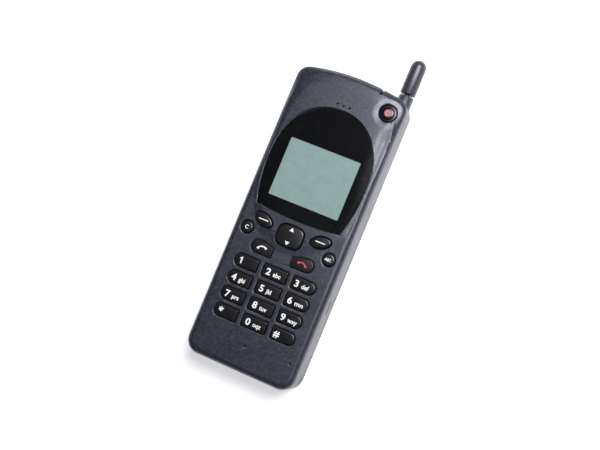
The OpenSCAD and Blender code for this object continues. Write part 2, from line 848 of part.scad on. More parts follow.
module battery_springs() {
    color([0.86, 0.72, 0.35]) place() for (x = contact_x)
        translate([x + 1, battery_l - 8, 0]) rotate([0, -90, 0]) linear_extrude(2)
            polygon([
                [board_z, 4], [board_z - 0.5, 4], [lid_top + 1.2, 3], [lid_top + 0.1, 0.6],
                [lid_top + 0.1, -0.6], [lid_top + 1.2, -2.4], [lid_top + 1.5, -2.2],
                [lid_top + 0.5, -0.4], [lid_top + 0.5, 0.4], [lid_top + 1.6, 2.6],
                [board_z - 0.4, 3.2], [board_z, 3.2]
            ]);
}

latch_back = bay_end + wall + 6;
latch_z = wall + 0.4;
tooth_w = 7;

module battery_latch() {
    front = bay_end + wall + 0.3;
    color([0.10, 0.10, 0.11]) place() {
        difference() {
            block(-7.7, 7.7, front, latch_back, 0.3, latch_z + 1.2);
            for (i = [0:3]) block(-5, 5, front + 1 + 1.1 * i, front + 1.5 + 1.1 * i, -1, 0.6);
        }
        for (x = [-9.4, 7.6]) block(x, x + 1.8, front, latch_back, latch_z, latch_z + 1.2);
        block(-tooth_w / 2, tooth_w / 2, battery_l - 1, front + eps, latch_z, latch_z + 1.2);
    }
}

module latch_spring() {
    color([0.75, 0.75, 0.76]) place() difference() {
        rod(0, latch_z + 1, latch_back, latch_back + 5.8, 1.3);
        rod(0, latch_z + 1, latch_back - 1, latch_back + 7, 0.9);
    }
}

// ---- SIM, foot connector and screws ----

module sim_holder() {
    color([0.20, 0.20, 0.21]) place() difference() {
        block(-13.7, 13.7, sim_y - 0.4, sim_y + sim_l + 1.4, sim_z - 0.4, board_z);
        block(-sim_w / 2 - 0.15, sim_w / 2 + 0.15, sim_y - 2, sim_y + sim_l + 0.2,
            sim_z - 0.1, sim_z + sim_t + 0.2);
        block(-10.5, 10.5, sim_y - 2, sim_y + sim_l - 1, sim_z - 2, sim_z);
    }
}

module sim_card() {
    color([0.90, 0.90, 0.88]) place() translate([0, sim_y, sim_z]) linear_extrude(sim_t)
        polygon([
            [-sim_w / 2, 0], [sim_w / 2 - 3, 0], [sim_w / 2, 3],
            [sim_w / 2, sim_l], [-sim_w / 2, sim_l]
        ]);
}

module system_connector() {
    front = 0.6;
    middle_z = plug_z + plug_h / 2;
    color([0.10, 0.10, 0.11]) place() difference() {
        block(-plug_w / 2, plug_w / 2, front, plug_l, plug_z, plug_z + plug_h);
        block(slot_x, slot_x + slot_w, front - 1, front + slot_deep,
            middle_z - slot_h / 2, middle_z + slot_h / 2);
        rod(socket_x, middle_z, front - 1, front + slot_deep, socket_d / 2);
    }
}

module case_screws() {
    color([0.70, 0.70, 0.72]) place() for (s = screws) difference() {
        union() {
            pin(s[0], s[1], s[2] - 1.2, s[2], 1.9);
            pin(s[0], s[1], s[2] - eps, inner_z - 2, screw_r);
        }
        pin(s[0], s[1], s[2] - 2, s[2] - 0.6, 0.8);
    }
}

front_cover();
rear_cover();
display_window();
window_mask();
lcd_glass();
lcd_frame();
light_guide();
lcd_connector_strip();
keypad_mat();
for (i = [0:11]) number_key(i);
call_key(-1);  // send_key
call_key(1);  // end_key
navigation_key();
soft_key(-1);  // left_soft_key
soft_key(1);  // right_soft_key
round_key(-1);  // clear_key
round_key(1);  // letters_key
power_button();
volume_key(0);  // volume_up_key
volume_key(1);  // volume_down_key
keypad_board();
key_switches();
backlight_leds();
chassis_frame();
main_board();
logic_shield();
rf_shield();
board_chips();
board_connector();
earpiece();
earpiece_gasket();
microphone();
microphone_boot();
buzzer();
antenna_cap();
antenna_whip();
antenna_collar();
antenna_clip();
battery_case();
battery_lid();
battery_cells();
battery_contacts();
battery_latch();
latch_spring();
battery_springs();
sim_holder();
sim_card();
system_connector();
case_screws();
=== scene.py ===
import math

import bmesh
import bpy
from mathutils import Matrix, Vector


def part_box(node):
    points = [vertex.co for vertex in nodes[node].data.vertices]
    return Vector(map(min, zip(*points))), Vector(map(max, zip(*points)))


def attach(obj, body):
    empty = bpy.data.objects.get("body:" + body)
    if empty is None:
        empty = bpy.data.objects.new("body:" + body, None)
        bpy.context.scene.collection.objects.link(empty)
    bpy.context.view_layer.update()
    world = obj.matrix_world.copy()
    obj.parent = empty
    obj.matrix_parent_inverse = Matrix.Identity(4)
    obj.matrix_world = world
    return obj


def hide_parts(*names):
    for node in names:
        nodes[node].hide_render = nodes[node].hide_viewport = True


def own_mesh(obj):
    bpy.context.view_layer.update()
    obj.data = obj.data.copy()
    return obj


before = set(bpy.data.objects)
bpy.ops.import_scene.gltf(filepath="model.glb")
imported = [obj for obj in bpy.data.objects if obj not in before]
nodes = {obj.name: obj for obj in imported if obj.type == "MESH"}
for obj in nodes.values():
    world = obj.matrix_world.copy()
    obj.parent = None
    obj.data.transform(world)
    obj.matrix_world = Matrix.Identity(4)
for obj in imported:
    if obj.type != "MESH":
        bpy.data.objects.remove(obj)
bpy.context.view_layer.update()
scene = bpy.context.scene


# ---------------------------------------------------------------------------
# Studio
# White table, a soft key light from the antenna's side, and a camera that looks
# down on the handset as it lies turned on the table.
LEAN = math.radians(13.1)
LEAN_TOWARDS = math.radians(-5.5)
CAMERA_PLACE = Vector((0.11453, -0.02085, 0.50663))
CAMERA_RIGHT = Vector((0.90209, 0.38214, -0.20053))
LENS_MM = 63.6

look_back = Vector((
    math.sin(LEAN) * math.cos(LEAN_TOWARDS),
    math.sin(LEAN) * math.sin(LEAN_TOWARDS),
    math.cos(LEAN),
))
camera_x = (CAMERA_RIGHT - look_back * CAMERA_RIGHT.dot(look_back)).normalized()
camera_y = look_back.cross(camera_x)
camera_data = bpy.data.cameras.new("camera")
camera_data.sensor_width = 36
camera_data.lens = LENS_MM
camera_data.clip_start = 0.01
camera = bpy.data.objects.new("camera", camera_data)
scene.collection.objects.link(camera)
camera.matrix_world = Matrix((
    (camera_x.x, camera_y.x, look_back.x, CAMERA_PLACE.x),
    (camera_x.y, camera_y.y, look_back.y, CAMERA_PLACE.y),
    (camera_x.z, camera_y.z, look_back.z, CAMERA_PLACE.z),
    (0, 0, 0, 1),
))
scene.camera = camera


def area_light(name, place, aim, size, watts, colour):
    data = bpy.data.lights.new(name, "AREA")
    data.shape = "DISK"
    data.size = size
    data.energy = watts
    data.color = colour
    lamp = bpy.data.objects.new(name, data)
    scene.collection.objects.link(lamp)
    turn = (aim - place).to_track_quat("-Z", "Y").to_matrix().to_4x4()
    lamp.matrix_world = Matrix.Translation(place) @ turn


area_light("key_light", Vector((0.17, 0.22, 0.54)), Vector((0, 0.02, 0.02)), 0.36, 5.2, (1.0, 0.99, 1.0))

world = bpy.data.worlds.new("studio")
scene.world = world
world.use_nodes = True
sky = world.node_tree
sky.nodes.clear()
sky_out = sky.nodes.new("ShaderNodeOutputWorld")
sky_light = sky.nodes.new("ShaderNodeBackground")
sky_ramp = sky.nodes.new("ShaderNodeValToRGB")
sky_split = sky.nodes.new("ShaderNodeSeparateXYZ")
sky_place = sky.nodes.new("ShaderNodeTexCoord")
sky.links.new(sky_place.outputs["Generated"], sky_split.inputs[0])
sky.links.new(sky_split.outputs["Z"], sky_ramp.inputs[0])
sky.links.new(sky_ramp.outputs[0], sky_light.inputs["Color"])
sky.links.new(sky_light.outputs[0], sky_out.inputs["Surface"])
# dim room, a little lighter low down
sky_ramp.color_ramp.elements[0].position = 0.05
sky_ramp.color_ramp.elements[0].color = (0.11, 0.11, 0.125, 1)
sky_ramp.color_ramp.elements[1].position = 0.55
sky_ramp.color_ramp.elements[1].color = (0.03, 0.03, 0.035, 1)

floor_bm = bmesh.new()
bmesh.ops.create_grid(floor_bm, x_segments=1, y_segments=1, size=3)
floor_mesh = bpy.data.meshes.new("table_top")
floor_bm.to_mesh(floor_mesh)
floor_bm.free()
table_top = bpy.data.objects.new("table_top", floor_mesh)
scene.collection.objects.link(table_top)
white_board = bpy.data.materials.new("white_board")
white_board.use_nodes = True
board_shader = white_board.node_tree.nodes["Principled BSDF"]
board_shader.inputs["Base Color"].default_value = (0.86, 0.86, 0.87, 1)
board_shader.inputs["Roughness"].default_value = 0.9
board_shader.inputs["Specular IOR Level"].default_value = 0.1
board_shader.inputs["Emission Color"].default_value = (0.97, 0.96, 1.0, 1)
board_shader.inputs["Emission Strength"].default_value = 0.62
floor_mesh.materials.append(white_board)
scene.view_settings.view_transform = "Standard"


# ---------------------------------------------------------------------------
# Front cover
# Injection-moulded shell with a raised housing round the display, one hole for
# each key, and a fine spark-eroded grain under dark grey paint.
# Lengths from here on are millimetres: x from the case's middle, y from its foot
# and z from the battery's back. settle() turns them into the frame's metres.
MM = 0.001
case_low, case_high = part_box("front_cover")
CASE_MIDDLE = Vector(((case_low.x + case_high.x) / 2, case_low.y, 0))
CASE_W = (case_high.x - case_low.x) / MM
CASE_L = (case_high.y - case_low.y) / MM
HALF_W = CASE_W / 2


def at(x, y, z):
    return CASE_MIDDLE + Vector((x, y, z)) * MM


def settle(bm, name, smooth=35):
    """Puts a finished bmesh into the frame as an object, with its faces outwards."""
    bmesh.ops.remove_doubles(bm, verts=bm.verts, dist=0.0005)
    bmesh.ops.recalc_face_normals(bm, faces=bm.faces)
    bmesh.ops.transform(bm, matrix=Matrix.Translation(CASE_MIDDLE) @ Matrix.Scale(MM, 4), verts=bm.verts)
    mesh = bpy.data.meshes.new(name)
    bm.to_mesh(mesh)
    bm.free()
    mesh.shade_smooth()
    mesh.set_sharp_from_angle(angle=math.radians(smooth))
    piece = bpy.data.objects.new(name, mesh)
    scene.collection.objects.link(piece)
    return piece


CROWN_R = 110
TOP_R = 6
FOOT_R = 7
SPLIT_Z = 13.5
CREASE_Z = 20.1
FACE_Z = 23.6
WALL = 1.6
EDGE_ROUND = 3.0
POD_STEP = 0.65
POD_RISE = 0.35
POD_MIDDLE_Y = CASE_L - 44.4
POD_A, POD_UP, POD_DOWN = 27.5, 43, 45
LENS_Y = CASE_L - 48.4
LENS_FLOOR_Z = 23.3
CORNER_DROP = 3.4
VALLEY = 1.1


def arc(cx, cy, r, start, end, count):
    turns = [math.radians(start + (end - start) * i / count) for i in range(count + 1)]
    return [(cx + r * math.cos(t), cy + r * math.sin(t)) for t in turns]


def case_ring(inset):
    """Outline of the case, drawn in by inset."""
    cx = HALF_W - TOP_R
    rise = math.sqrt((CROWN_R - TOP_R) ** 2 - cx * cx)
    crown_y = CASE_L - CROWN_R
    turn = math.degrees(math.atan2(rise, cx))
    fx = HALF_W - FOOT_R
    ring = arc(fx, FOOT_R, FOOT_R - inset, -90, 0, 10)
    ring += arc(cx, crown_y + rise, TOP_R - inset, 0, turn, 10)
    ring += arc(0, crown_y, CROWN_R - inset, turn, 180 - turn, 24)[1:-1]
    ring += arc(-cx, crown_y + rise, TOP_R - inset, 180 - turn, 180, 10)
    ring += arc(-fx, FOOT_R, FOOT_R - inset, 180, 270, 10)
    return ring


def superellipse(a, b, power, start, end, count):
    points = []
    for i in range(count + 1):
        t = math.radians(start + (end - start) * i / count)
        c, s = math.cos(t), math.sin(t)
        points.append((
            a * math.copysign(abs(c) ** (2 / power), c),
            b * math.copysign(abs(s) ** (2 / power), s),
        ))
    return points


def lens_ring(inset):
    """Outline of the window: a round head over sides that draw in to the lower edge."""
    a, up, down, side, sag = 25.1 - inset, 30.8 - inset, 45.6, 24, 1.5
    turn = math.degrees(math.asin(side / down))
    x = a * math.cos(math.radians(turn))
    r = (x * x + sag * sag) / (2 * sag)
    half = math.degrees(math.asin(x / r))
    ring = superellipse(a, up, 2.2, 0, 180, 56)
    ring += superellipse(a, down, 2, 180, 180 + turn, 10)[1:-1]
    ring += arc(0, -side - sag + r + inset, r, 270 - half, 270 + half, 14)
    ring += superellipse(a, down, 2, 360 - turn, 360, 10)[1:-1]
    return [(px, py + LENS_Y) for px, py in ring]


def smooth_step(t):
    t = min(max(t, 0), 1)
    return t * t * (3 - 2 * t)


def pod_reach(x, y):
    """0 in the middle of the display housing, 1 on its outline, more outside."""
    reach, power = (POD_UP, 3.7) if y > POD_MIDDLE_Y else (POD_DOWN, 2.2)
    return (abs(x / POD_A) ** power + abs((y - POD_MIDDLE_Y) / reach) ** power) ** (1 / power)


def relief(x, y):
    """How far the face swells over the display housing, and falls away beside it."""
    q = pod_reach(x, y)
    lift = POD_STEP * (1 - smooth_step((q - 0.86) / 0.17)) + POD_RISE * (1 - min(q, 1) ** 2)
    fall = min(max(q - 0.985, 0) / 0.28, 1) ** 0.9
    lift -= CORNER_DROP * fall * smooth_step((y - POD_MIDDLE_Y + 14) / 36)
    # valley down the right side, from the power button to the window's lower corner
    along = (POWER_Y - 3 - y) / 58
    if 0 < along < 1 and x > 0:
        middle = 24.3 + 0.6 * along
        width = 2.7 - 1.7 * along
        depth = VALLEY * (1 - along) ** 0.6 * smooth_step(along * 5)
        lift -= depth * math.exp(-((x - middle) / width) ** 2)
    # dimple round the power button
    away = math.hypot(x - POWER_X, y - POWER_Y)
    return lift - 0.35 * (1 - smooth_step((away - 4.5) / 2.6))


def prism(bm, ring, low, high):
    """Extrudes a flat ring of points from low to high and returns the top face."""
    base = bm.faces.new([bm.verts.new((x, y, low)) for x, y in ring])
    grown = bmesh.ops.extrude_face_region(bm, geom=[base])["geom"]
    top = [g for g in grown if isinstance(g, bmesh.types.BMFace)][0]
    bmesh.ops.translate(bm, verts=top.verts, vec=(0, 0, high - low))
    return top


def round_edges(bm, edges, offset, segments):
    return bmesh.ops.bevel(
        bm, geom=list(edges), offset=offset, offset_type="OFFSET", segments=segments,
        profile=0.5, affect="EDGES", material=-1, clamp_overlap=True,
    )


def hole(bm, ring, low, high, flare=0.22, flare_depth=0.25):
    """Cutter for a hole with a rounded mouth at height high."""
    top = prism(bm, ring, low, high - flare_depth)
    for share in (0.35, 0.65):
        bmesh.ops.inset_individual(
            bm, faces=[top], thickness=-flare * share, depth=flare_depth * (1 - share),
            use_even_offset=True,
        )
    lifted = bmesh.ops.extrude_face_region(bm, geom=[top])["geom"]
    cap = [g for g in lifted if isinstance(g, bmesh.types.BMFace)][0]
    bmesh.ops.delete(bm, geom=[top], context="FACES_ONLY")
    bmesh.ops.translate(bm, verts=cap.verts, vec=(0, 0, 3))


def carve(body, tool, how="DIFFERENCE"):
    """Takes the tool away from the body, joins the two, or keeps what they share."""
    parts = []
    for bm, name in ((body, "carve_body"), (tool, "carve_tool")):
        bmesh.ops.recalc_face_normals(bm, faces=bm.faces)
        mesh = bpy.data.meshes.new(name)
        bm.to_mesh(mesh)
        bm.free()
        part = bpy.data.objects.new(name, mesh)
        scene.collection.objects.link(part)
        parts.append(part)
    modifier = parts[0].modifiers.new("carve", "BOOLEAN")
    modifier.operation = how
    modifier.solver = "EXACT"
    modifier.object = parts[1]
    result = bmesh.new()
    result.from_object(parts[0], bpy.context.evaluated_depsgraph_get())
    for part in parts:
        mesh = part.data
        bpy.data.objects.remove(part)
        bpy.data.meshes.remove(mesh)
    return result


def slice_up(bm, faces, axis, low, high, step):
    """Cuts the faces with evenly spaced planes, so that they can be bent."""
    normal = Vector((1, 0, 0)) if axis == "x" else Vector((0, 1, 0))
    count = int((high - low) / step)
    chosen = {f for f in faces}
    for i in range(1, count):
        geom = list(chosen)
        geom += list({e for f in chosen for e in f.edges})
        geom += list({v for f in chosen for v in f.verts})
        cut = bmesh.ops.bisect_plane(
            bm, geom=geom, dist=0.0001, plane_co=normal * (low + i * (high - low) / count), plane_no=normal,
        )
        chosen = {g for g in cut["geom"] if isinstance(g, bmesh.types.BMFace)}
    return chosen


def rounded_box(w, l, r, count=5):
    x, y = w / 2 - r, l / 2 - r
    ring = arc(x, -y, r, -90, 0, count) + arc(x, y, r, 0, 90, count)
    return ring + arc(-x, y, r, 90, 180, count) + arc(-x, -y, r, 180, 270, count)


def moved(ring, x, y, flip=False):
    points = [((-px if flip else px) + x, py + y) for px, py in ring]
    return points[::-1] if flip else points


def fit_piece(piece, material, body, node):
    """Gives a piece its material and puts it on its body, in place of a CAD node."""
    piece.data.materials.append(material)
    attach(piece, body)
    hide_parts(node)


# keypad layout, shared by the holes in the cover and the keys that stand in them
KEY_PITCH = 8.4
KEY_ROW_Y = 23.8
KEY_COLUMN_X = 14.95
CALL_Y = KEY_ROW_Y + 3 * KEY_PITCH + 5.8 + 3.35
CALL_X = 10.5
NAV_Y = CALL_Y + 9.6
SOFT_X, SOFT_Y = 14.7, CALL_Y + 12.45
ROUND_X, ROUND_Y = 21.2, CALL_Y + 6.45
POWER_X, POWER_Y, POWER_R = HALF_W - 7.3, CASE_L - 11.1, 4.3
VOLUME_Y = (CASE_L - 29.4, CASE_L - 39.4)
VOLUME_L, VOLUME_GAP = 6, 0.22
VOLUME_LOW, VOLUME_HIGH = 15.9, 18.1


def middle_key(grow):
    return rounded_box(13 + 2 * grow, 6.5 + 2 * grow, 0.8 + grow)


def side_key(grow):
    """Square towards the middle column, half round towards the side."""
    w, l, r = 12.5, 6.5 + 2 * grow, 0.8 + grow
    ring = arc(w / 2 - 3.25, 0, l / 2, -90, 90, 18)
    ring += arc(-w / 2 - grow + r, l / 2 - r, r, 90, 180, 5)
    return ring + arc(-w / 2 - grow + r, -l / 2 + r, r, 180, 270, 5)


def call_key(grow):
    """Straight inner end, top edge rising to its peak, round outer end."""
    w, l, r = 11.4, 6.7 + 2 * grow, 0.5 + grow
    ring = arc(w / 2 - 3.35, 0, l / 2, -90, 90, 18)
    steps = 6
    run = w - 3.35 - 0.9
    for i in range(1, steps):
        ring.append((w / 2 - 3.35 - run * i / steps, l / 2 - 1.6 * (i / steps) ** 2))
    ring += arc(-w / 2 - grow + r, l / 2 - 1.6 - r, r, 100, 180, 4)
    return ring + arc(-w / 2 - grow + r, -l / 2 + r, r, 180, 270, 4)


def navigation_key(grow):
    return superellipse(6.8 + grow, 5.6 + grow, 3.4, 0, 354, 59)


def soft_key(grow):
    turn = math.radians(20)
    ring = superellipse(5.3 + grow, 3.1 + grow, 2, 0, 352.5, 47)
    return [
        (x * math.cos(turn) - y * math.sin(turn), x * math.sin(turn) + y * math.cos(turn)) for x, y in ring
    ]


def round_key(grow):
    return arc(0, 0, 3.35 + grow, 0, 352.5, 47)


def number_place(i):
    """Key i's centre, counted from the top left, and which side it stands on."""
    column = i % 3 - 1
    return column * KEY_COLUMN_X, KEY_ROW_Y + (3 - i // 3) * KEY_PITCH, column


cover = bmesh.new()
cover_top = prism(cover, case_ring(0), SPLIT_Z + 0.05, FACE_Z)
round_edges(cover, cover_top.edges, EDGE_ROUND, 8)
inside = bmesh.new()
prism(inside, case_ring(WALL), SPLIT_Z - 1, CREASE_Z)
cover = carve(cover, inside)
inside_top = bmesh.new()
prism(inside_top, case_ring(WALL + 2.2), CREASE_Z - 1, FACE_Z - WALL)
cover = carve(cover, inside_top)

cutter = bmesh.new()
hole(cutter, lens_ring(-0.12), LENS_FLOOR_Z, FACE_Z, 0.12, 0.12)
for i in range(12):
    x, y, column = number_place(i)
    ring = side_key(0) if column else middle_key(0)
    hole(cutter, moved(ring, x, y, column < 0), 20.5, FACE_Z)
for side in (-1, 1):
    hole(cutter, moved(call_key(0), side * CALL_X, CALL_Y, side < 0), 20.5, FACE_Z)
    hole(cutter, moved(soft_key(0), side * SOFT_X, SOFT_Y, side < 0), 20.5, FACE_Z, 0.3, 0.4)
    hole(cutter, moved(round_key(0), side * ROUND_X, ROUND_Y), 20.5, FACE_Z)
hole(cutter, moved(navigation_key(0), 0, NAV_Y), 20.5, FACE_Z, 0.3, 0.35)
hole(cutter, moved(round_key(POWER_R - 3.35), POWER_X, POWER_Y), 18, FACE_Z, 0.35, 0.4)
for i in (-1, 0, 1):
    hole(cutter, arc(3.05 * i, CASE_L - 15.4, 0.52, 0, 345, 23), 20.5, FACE_Z, 0.06, 0.06)
hole(cutter, arc(0, 11.9, 0.5, 0, 345, 23), 20.5, FACE_Z, 0.12, 0.12)
hole(cutter, arc(22.7, 13.4, 0.4, 0, 345, 23), 20.5, FACE_Z, 0.1, 0.1)
# shallow panel between the two call keys
prism(cutter, moved(rounded_box(9.0, 5.0, 0.3), 0, CALL_Y - 0.7), FACE_Z - 0.3, FACE_Z + 2)
# volume key slots, strap notch, grip slot and foot window
for y in VOLUME_Y:
    ring = moved(rounded_box(4.6, VOLUME_L + 2 * VOLUME_GAP, 0.3), -HALF_W, y)
    prism(cutter, ring, VOLUME_LOW - VOLUME_GAP, VOLUME_HIGH + VOLUME_GAP)
prism(cutter, moved(rounded_box(1.5, 5, 0.3), 14, CASE_L - 1.7), SPLIT_Z + 1, FACE_Z + 3)
prism(cutter, moved(rounded_box(2, 6.5, 0.4), HALF_W, 43.65), SPLIT_Z - 1, SPLIT_Z + 0.7)
prism(cutter, moved(rounded_box(34.2, 9, 0.3), 0, 0), SPLIT_Z - 1, 17.3)
cover = carve(cover, cutter)
grooves = bmesh.new()
for x, y, w, l in ((-4.6, -0.7, 0.3, 5.2), (4.6, -0.7, 0.3, 5.2), (0, -3.25, 8.7, 0.3)):
    prism(grooves, moved(rounded_box(w, l, 0.1, 2), x, CALL_Y + y), FACE_Z - 0.8, FACE_Z + 2)
cover = carve(cover, grooves)
view_hole = bmesh.new()
prism(view_hole, moved(rounded_box(38.4, 31.6, 1), 0, LENS_Y - 3.5), 20, 26)
cover = carve(cover, view_hole)

cover.normal_update()
upper = [f for f in cover.faces if f.calc_center_median().z > CREASE_Z - 0.2 and f.normal.z > 0.02]
upper = bmesh.ops.triangulate(cover, faces=upper)["faces"]
upper = slice_up(cover, upper, "x", -HALF_W, HALF_W, 0.9)
slice_up(cover, upper, "y", 0, CASE_L, 1.1)
for v in cover.verts:
    share = (v.co.z - CREASE_Z) / (FACE_Z - CREASE_Z)
    # the window's seat and the underside stay where they are
    if pod_reach(v.co.x, v.co.y) < 0.99 and v.co.z < LENS_FLOOR_Z + 0.02:
        share = 0
    if share > 0:
        v.co.z += min(share, 1) * relief(v.co.x, v.co.y)
front_cover = settle(cover, "front_cover_shell", 32)


def new_material(name):
    """A material with its node tree, its shader and a node for the place on the piece."""
    material = bpy.data.materials.new(name)
    material.use_nodes = True
    tree = material.node_tree
    return material, tree, tree.nodes["Principled BSDF"], tree.nodes.new("ShaderNodeTexCoord")


def case_plastic(name, colour, fleck, roughness, grain):
    """Painted moulding: soft flecks of lighter pigment over a fine leathery grain."""
    material, tree, shader, place = new_material(name)
    pigment = tree.nodes.new("ShaderNodeTexNoise")
    pigment.inputs["Scale"].default_value = 950
    pigment.inputs["Detail"].default_value = 3
    pigment.inputs["Roughness"].default_value = 0.7
    shade = tree.nodes.new("ShaderNodeValToRGB")
    shade.color_ramp.elements[0].position = 0.36
    shade.color_ramp.elements[0].color = (*colour, 1)
    shade.color_ramp.elements[1].position = 0.68
    shade.color_ramp.elements[1].color = (*fleck, 1)
    wear = tree.nodes.new("ShaderNodeTexNoise")
    wear.inputs["Scale"].default_value = 70
    wear.inputs["Detail"].default_value = 4
    sheen = tree.nodes.new("ShaderNodeMapRange")
    sheen.inputs["To Min"].default_value = roughness - 0.06
    sheen.inputs["To Max"].default_value = roughness + 0.08
    grain_noise = tree.nodes.new("ShaderNodeTexVoronoi")
    grain_noise.inputs["Scale"].default_value = 2600
    bump = tree.nodes.new("ShaderNodeBump")
    bump.inputs["Strength"].default_value = grain
    bump.inputs["Distance"].default_value = 0.00006
    links = tree.links
    for texture in (pigment, wear, grain_noise):
        links.new(place.outputs["Object"], texture.inputs["Vector"])
    links.new(pigment.outputs["Fac"], shade.inputs["Fac"])
    links.new(shade.outputs["Color"], shader.inputs["Base Color"])
    links.new(wear.outputs["Fac"], sheen.inputs["Value"])
    links.new(sheen.outputs["Result"], shader.inputs["Roughness"])
    links.new(grain_noise.outputs["Distance"], bump.inputs["Height"])
    links.new(bump.outputs["Normal"], shader.inputs["Normal"])
    shader.inputs["Specular IOR Level"].default_value = 0.85
    shader.inputs["Specular Tint"].default_value = (0.90, 0.91, 1.0, 1)
    return material


case_paint = case_plastic("case_paint", (0.006, 0.008, 0.012), (0.036, 0.041, 0.060), 0.38, 0.5)
fit_piece(front_cover, case_paint, "handset", "front_cover")


# ---------------------------------------------------------------------------
# Rear cover
# Moulding that closes the case: it holds the upper part of the back, the floor
# of the battery bay and the two rails that the battery runs in.
BAY_END = 97.3
BAY_Z = 10.0
FLOOR_T = 1.4
RAIL_Z = 7.2
RAIL_T = 1.2
RAIL_Y = 8
BACK_ROUND = 3.0


def box_tool(bm, low, high):
    """Closed box between two corners, for cutting or building up."""
    size = Vector(high) - Vector(low)
    middle = (Vector(high) + Vector(low)) / 2
    matrix = Matrix.Translation(middle) @ Matrix.Diagonal((*size, 1))
    return bmesh.ops.create_cube(bm, size=1, matrix=matrix)["verts"]


def rear_block(top):
    """The outer form of the back, rounded along its lower edge."""
    bm = bmesh.new()
    prism(bm, case_ring(0), 0, top)
    bm.normal_update()
    low_edges = [e for e in bm.edges if all(v.co.z < 0.01 for v in e.verts)]
    round_edges(bm, low_edges, BACK_ROUND, 8)
    return bm


rear = rear_block(SPLIT_Z - 0.05)
inner_x = HALF_W - WALL
# the bay's mouth, the way between the rails, the grooves above them, the foot's opening
for half, low_z, end_y, high_z in (
    (HALF_W + 1, -1, BAY_END, RAIL_Z), (inner_x - RAIL_T, RAIL_Z - 1, BAY_END, BAY_Z),
    (inner_x, RAIL_Z + RAIL_T, BAY_END, BAY_Z), (HALF_W + 1, RAIL_Z - 1, RAIL_Y, BAY_Z),
):
    bay = bmesh.new()
    box_tool(bay, (-half, -1, low_z), (half, end_y, high_z))
    rear = carve(rear, bay)
room = bmesh.new()
prism(room, case_ring(WALL), BAY_Z + FLOOR_T, SPLIT_Z + 1)
rear = carve(rear, room)
room = bmesh.new()
prism(room, case_ring(WALL + 0.6), WALL, SPLIT_Z + 1)
room_limit = bmesh.new()
box_tool(room_limit, (-HALF_W, BAY_END + WALL, 0), (HALF_W, CASE_L, SPLIT_Z + 1))
rear = carve(rear, carve(room, room_limit, "INTERSECT"))

SCREW_PLACES = [
    (side * x, y, seat)
    for x, y, seat in ((HALF_W - 4.6, 16, 11.6), (HALF_W - 4.6, 73.5, 11.6), (17, CASE_L - 24, 3.0))
    for side in (1, -1)
]
ANTENNA_X = HALF_W - 4.7
ANTENNA_Z = 9.5
COLLAR_Y = CASE_L - 10.3
COLLAR_R = 3.65


def lathe_z(bm, x, y, low, high, r, segments=40):
    matrix = Matrix.Translation((x, y, (low + high) / 2))
    bmesh.ops.create_cone(
        bm, cap_ends=True, segments=segments, radius1=r, radius2=r, depth=high - low, matrix=matrix,
    )


def lathe_y(bm, x, z, low, high, r, segments=48):
    matrix = Matrix.Translation((x, (low + high) / 2, z)) @ Matrix.Rotation(math.pi / 2, 4, "X")
    bmesh.ops.create_cone(
        bm, cap_ends=True, segments=segments, radius1=r, radius2=r, depth=high - low, matrix=matrix,
    )


bosses = bmesh.new()
for x, y, seat in SCREW_PLACES:
    lathe_z(bosses, x, y, BAY_Z + 0.2 if seat > BAY_Z else 1, SPLIT_Z - 0.1, 3.2)
    lathe_z(bosses, x, y, SPLIT_Z - 0.6, 13.95, 2.8)
lathe_y(bosses, ANTENNA_X, ANTENNA_Z, CASE_L - 16.4, CASE_L - 8, COLLAR_R + 0.7)
rear = carve(rear, bosses, "UNION")
bores = bmesh.new()
for x, y, seat in SCREW_PLACES:
    lathe_z(bores, x, y, seat - 8, seat, 2.1)
lathe_y(bores, ANTENNA_X, ANTENNA_Z, COLLAR_Y, CASE_L + 2, COLLAR_R + 0.05)
box_tool(bores, (-8, BAY_END + WALL, -1), (8, BAY_END + WALL + 8.3, WALL + 0.2))
box_tool(bores, (-3.8, BAY_END - 1, 1.8), (3.8, BAY_END + WALL - 0.01, 3.6))
box_tool(bores, (-11.5, 84, BAY_Z - 1), (11.5, 94, BAY_Z + FLOOR_T + 1))
box_tool(bores, (-13.8, 27, BAY_Z - 1), (13.8, 58, BAY_Z + FLOOR_T + 1))
box_tool(bores, (-17.1, -1, 11.5), (17.1, 9.4, SPLIT_Z + 1))
box_tool(bores, (HALF_W - 1, 40.4, SPLIT_Z - 0.7), (HALF_W + 1, 46.9, SPLIT_Z + 1))
rear = carve(rear, bores)
shanks = bmesh.new()
for x, y, seat in SCREW_PLACES:
    lathe_z(shanks, x, y, seat - 1, 15, 1.05)
lathe_y(shanks, ANTENNA_X, ANTENNA_Z, CASE_L - 17.4, COLLAR_Y + 1, 2.65)
rear = carve(rear, shanks)
rear_cover = settle(rear, "rear_cover_shell", 32)
fit_piece(rear_cover, case_paint, "handset", "rear_cover")


# ---------------------------------------------------------------------------
# Battery
# Clip-on pack: a moulded tray with grip ribs and a blank label recess, closed by
# a flat lid whose edges run in the rails. Five sleeved cells fill it.
BATTERY_L = 97.0
SEAM_Z = 7.0
LID_Z = 8.7

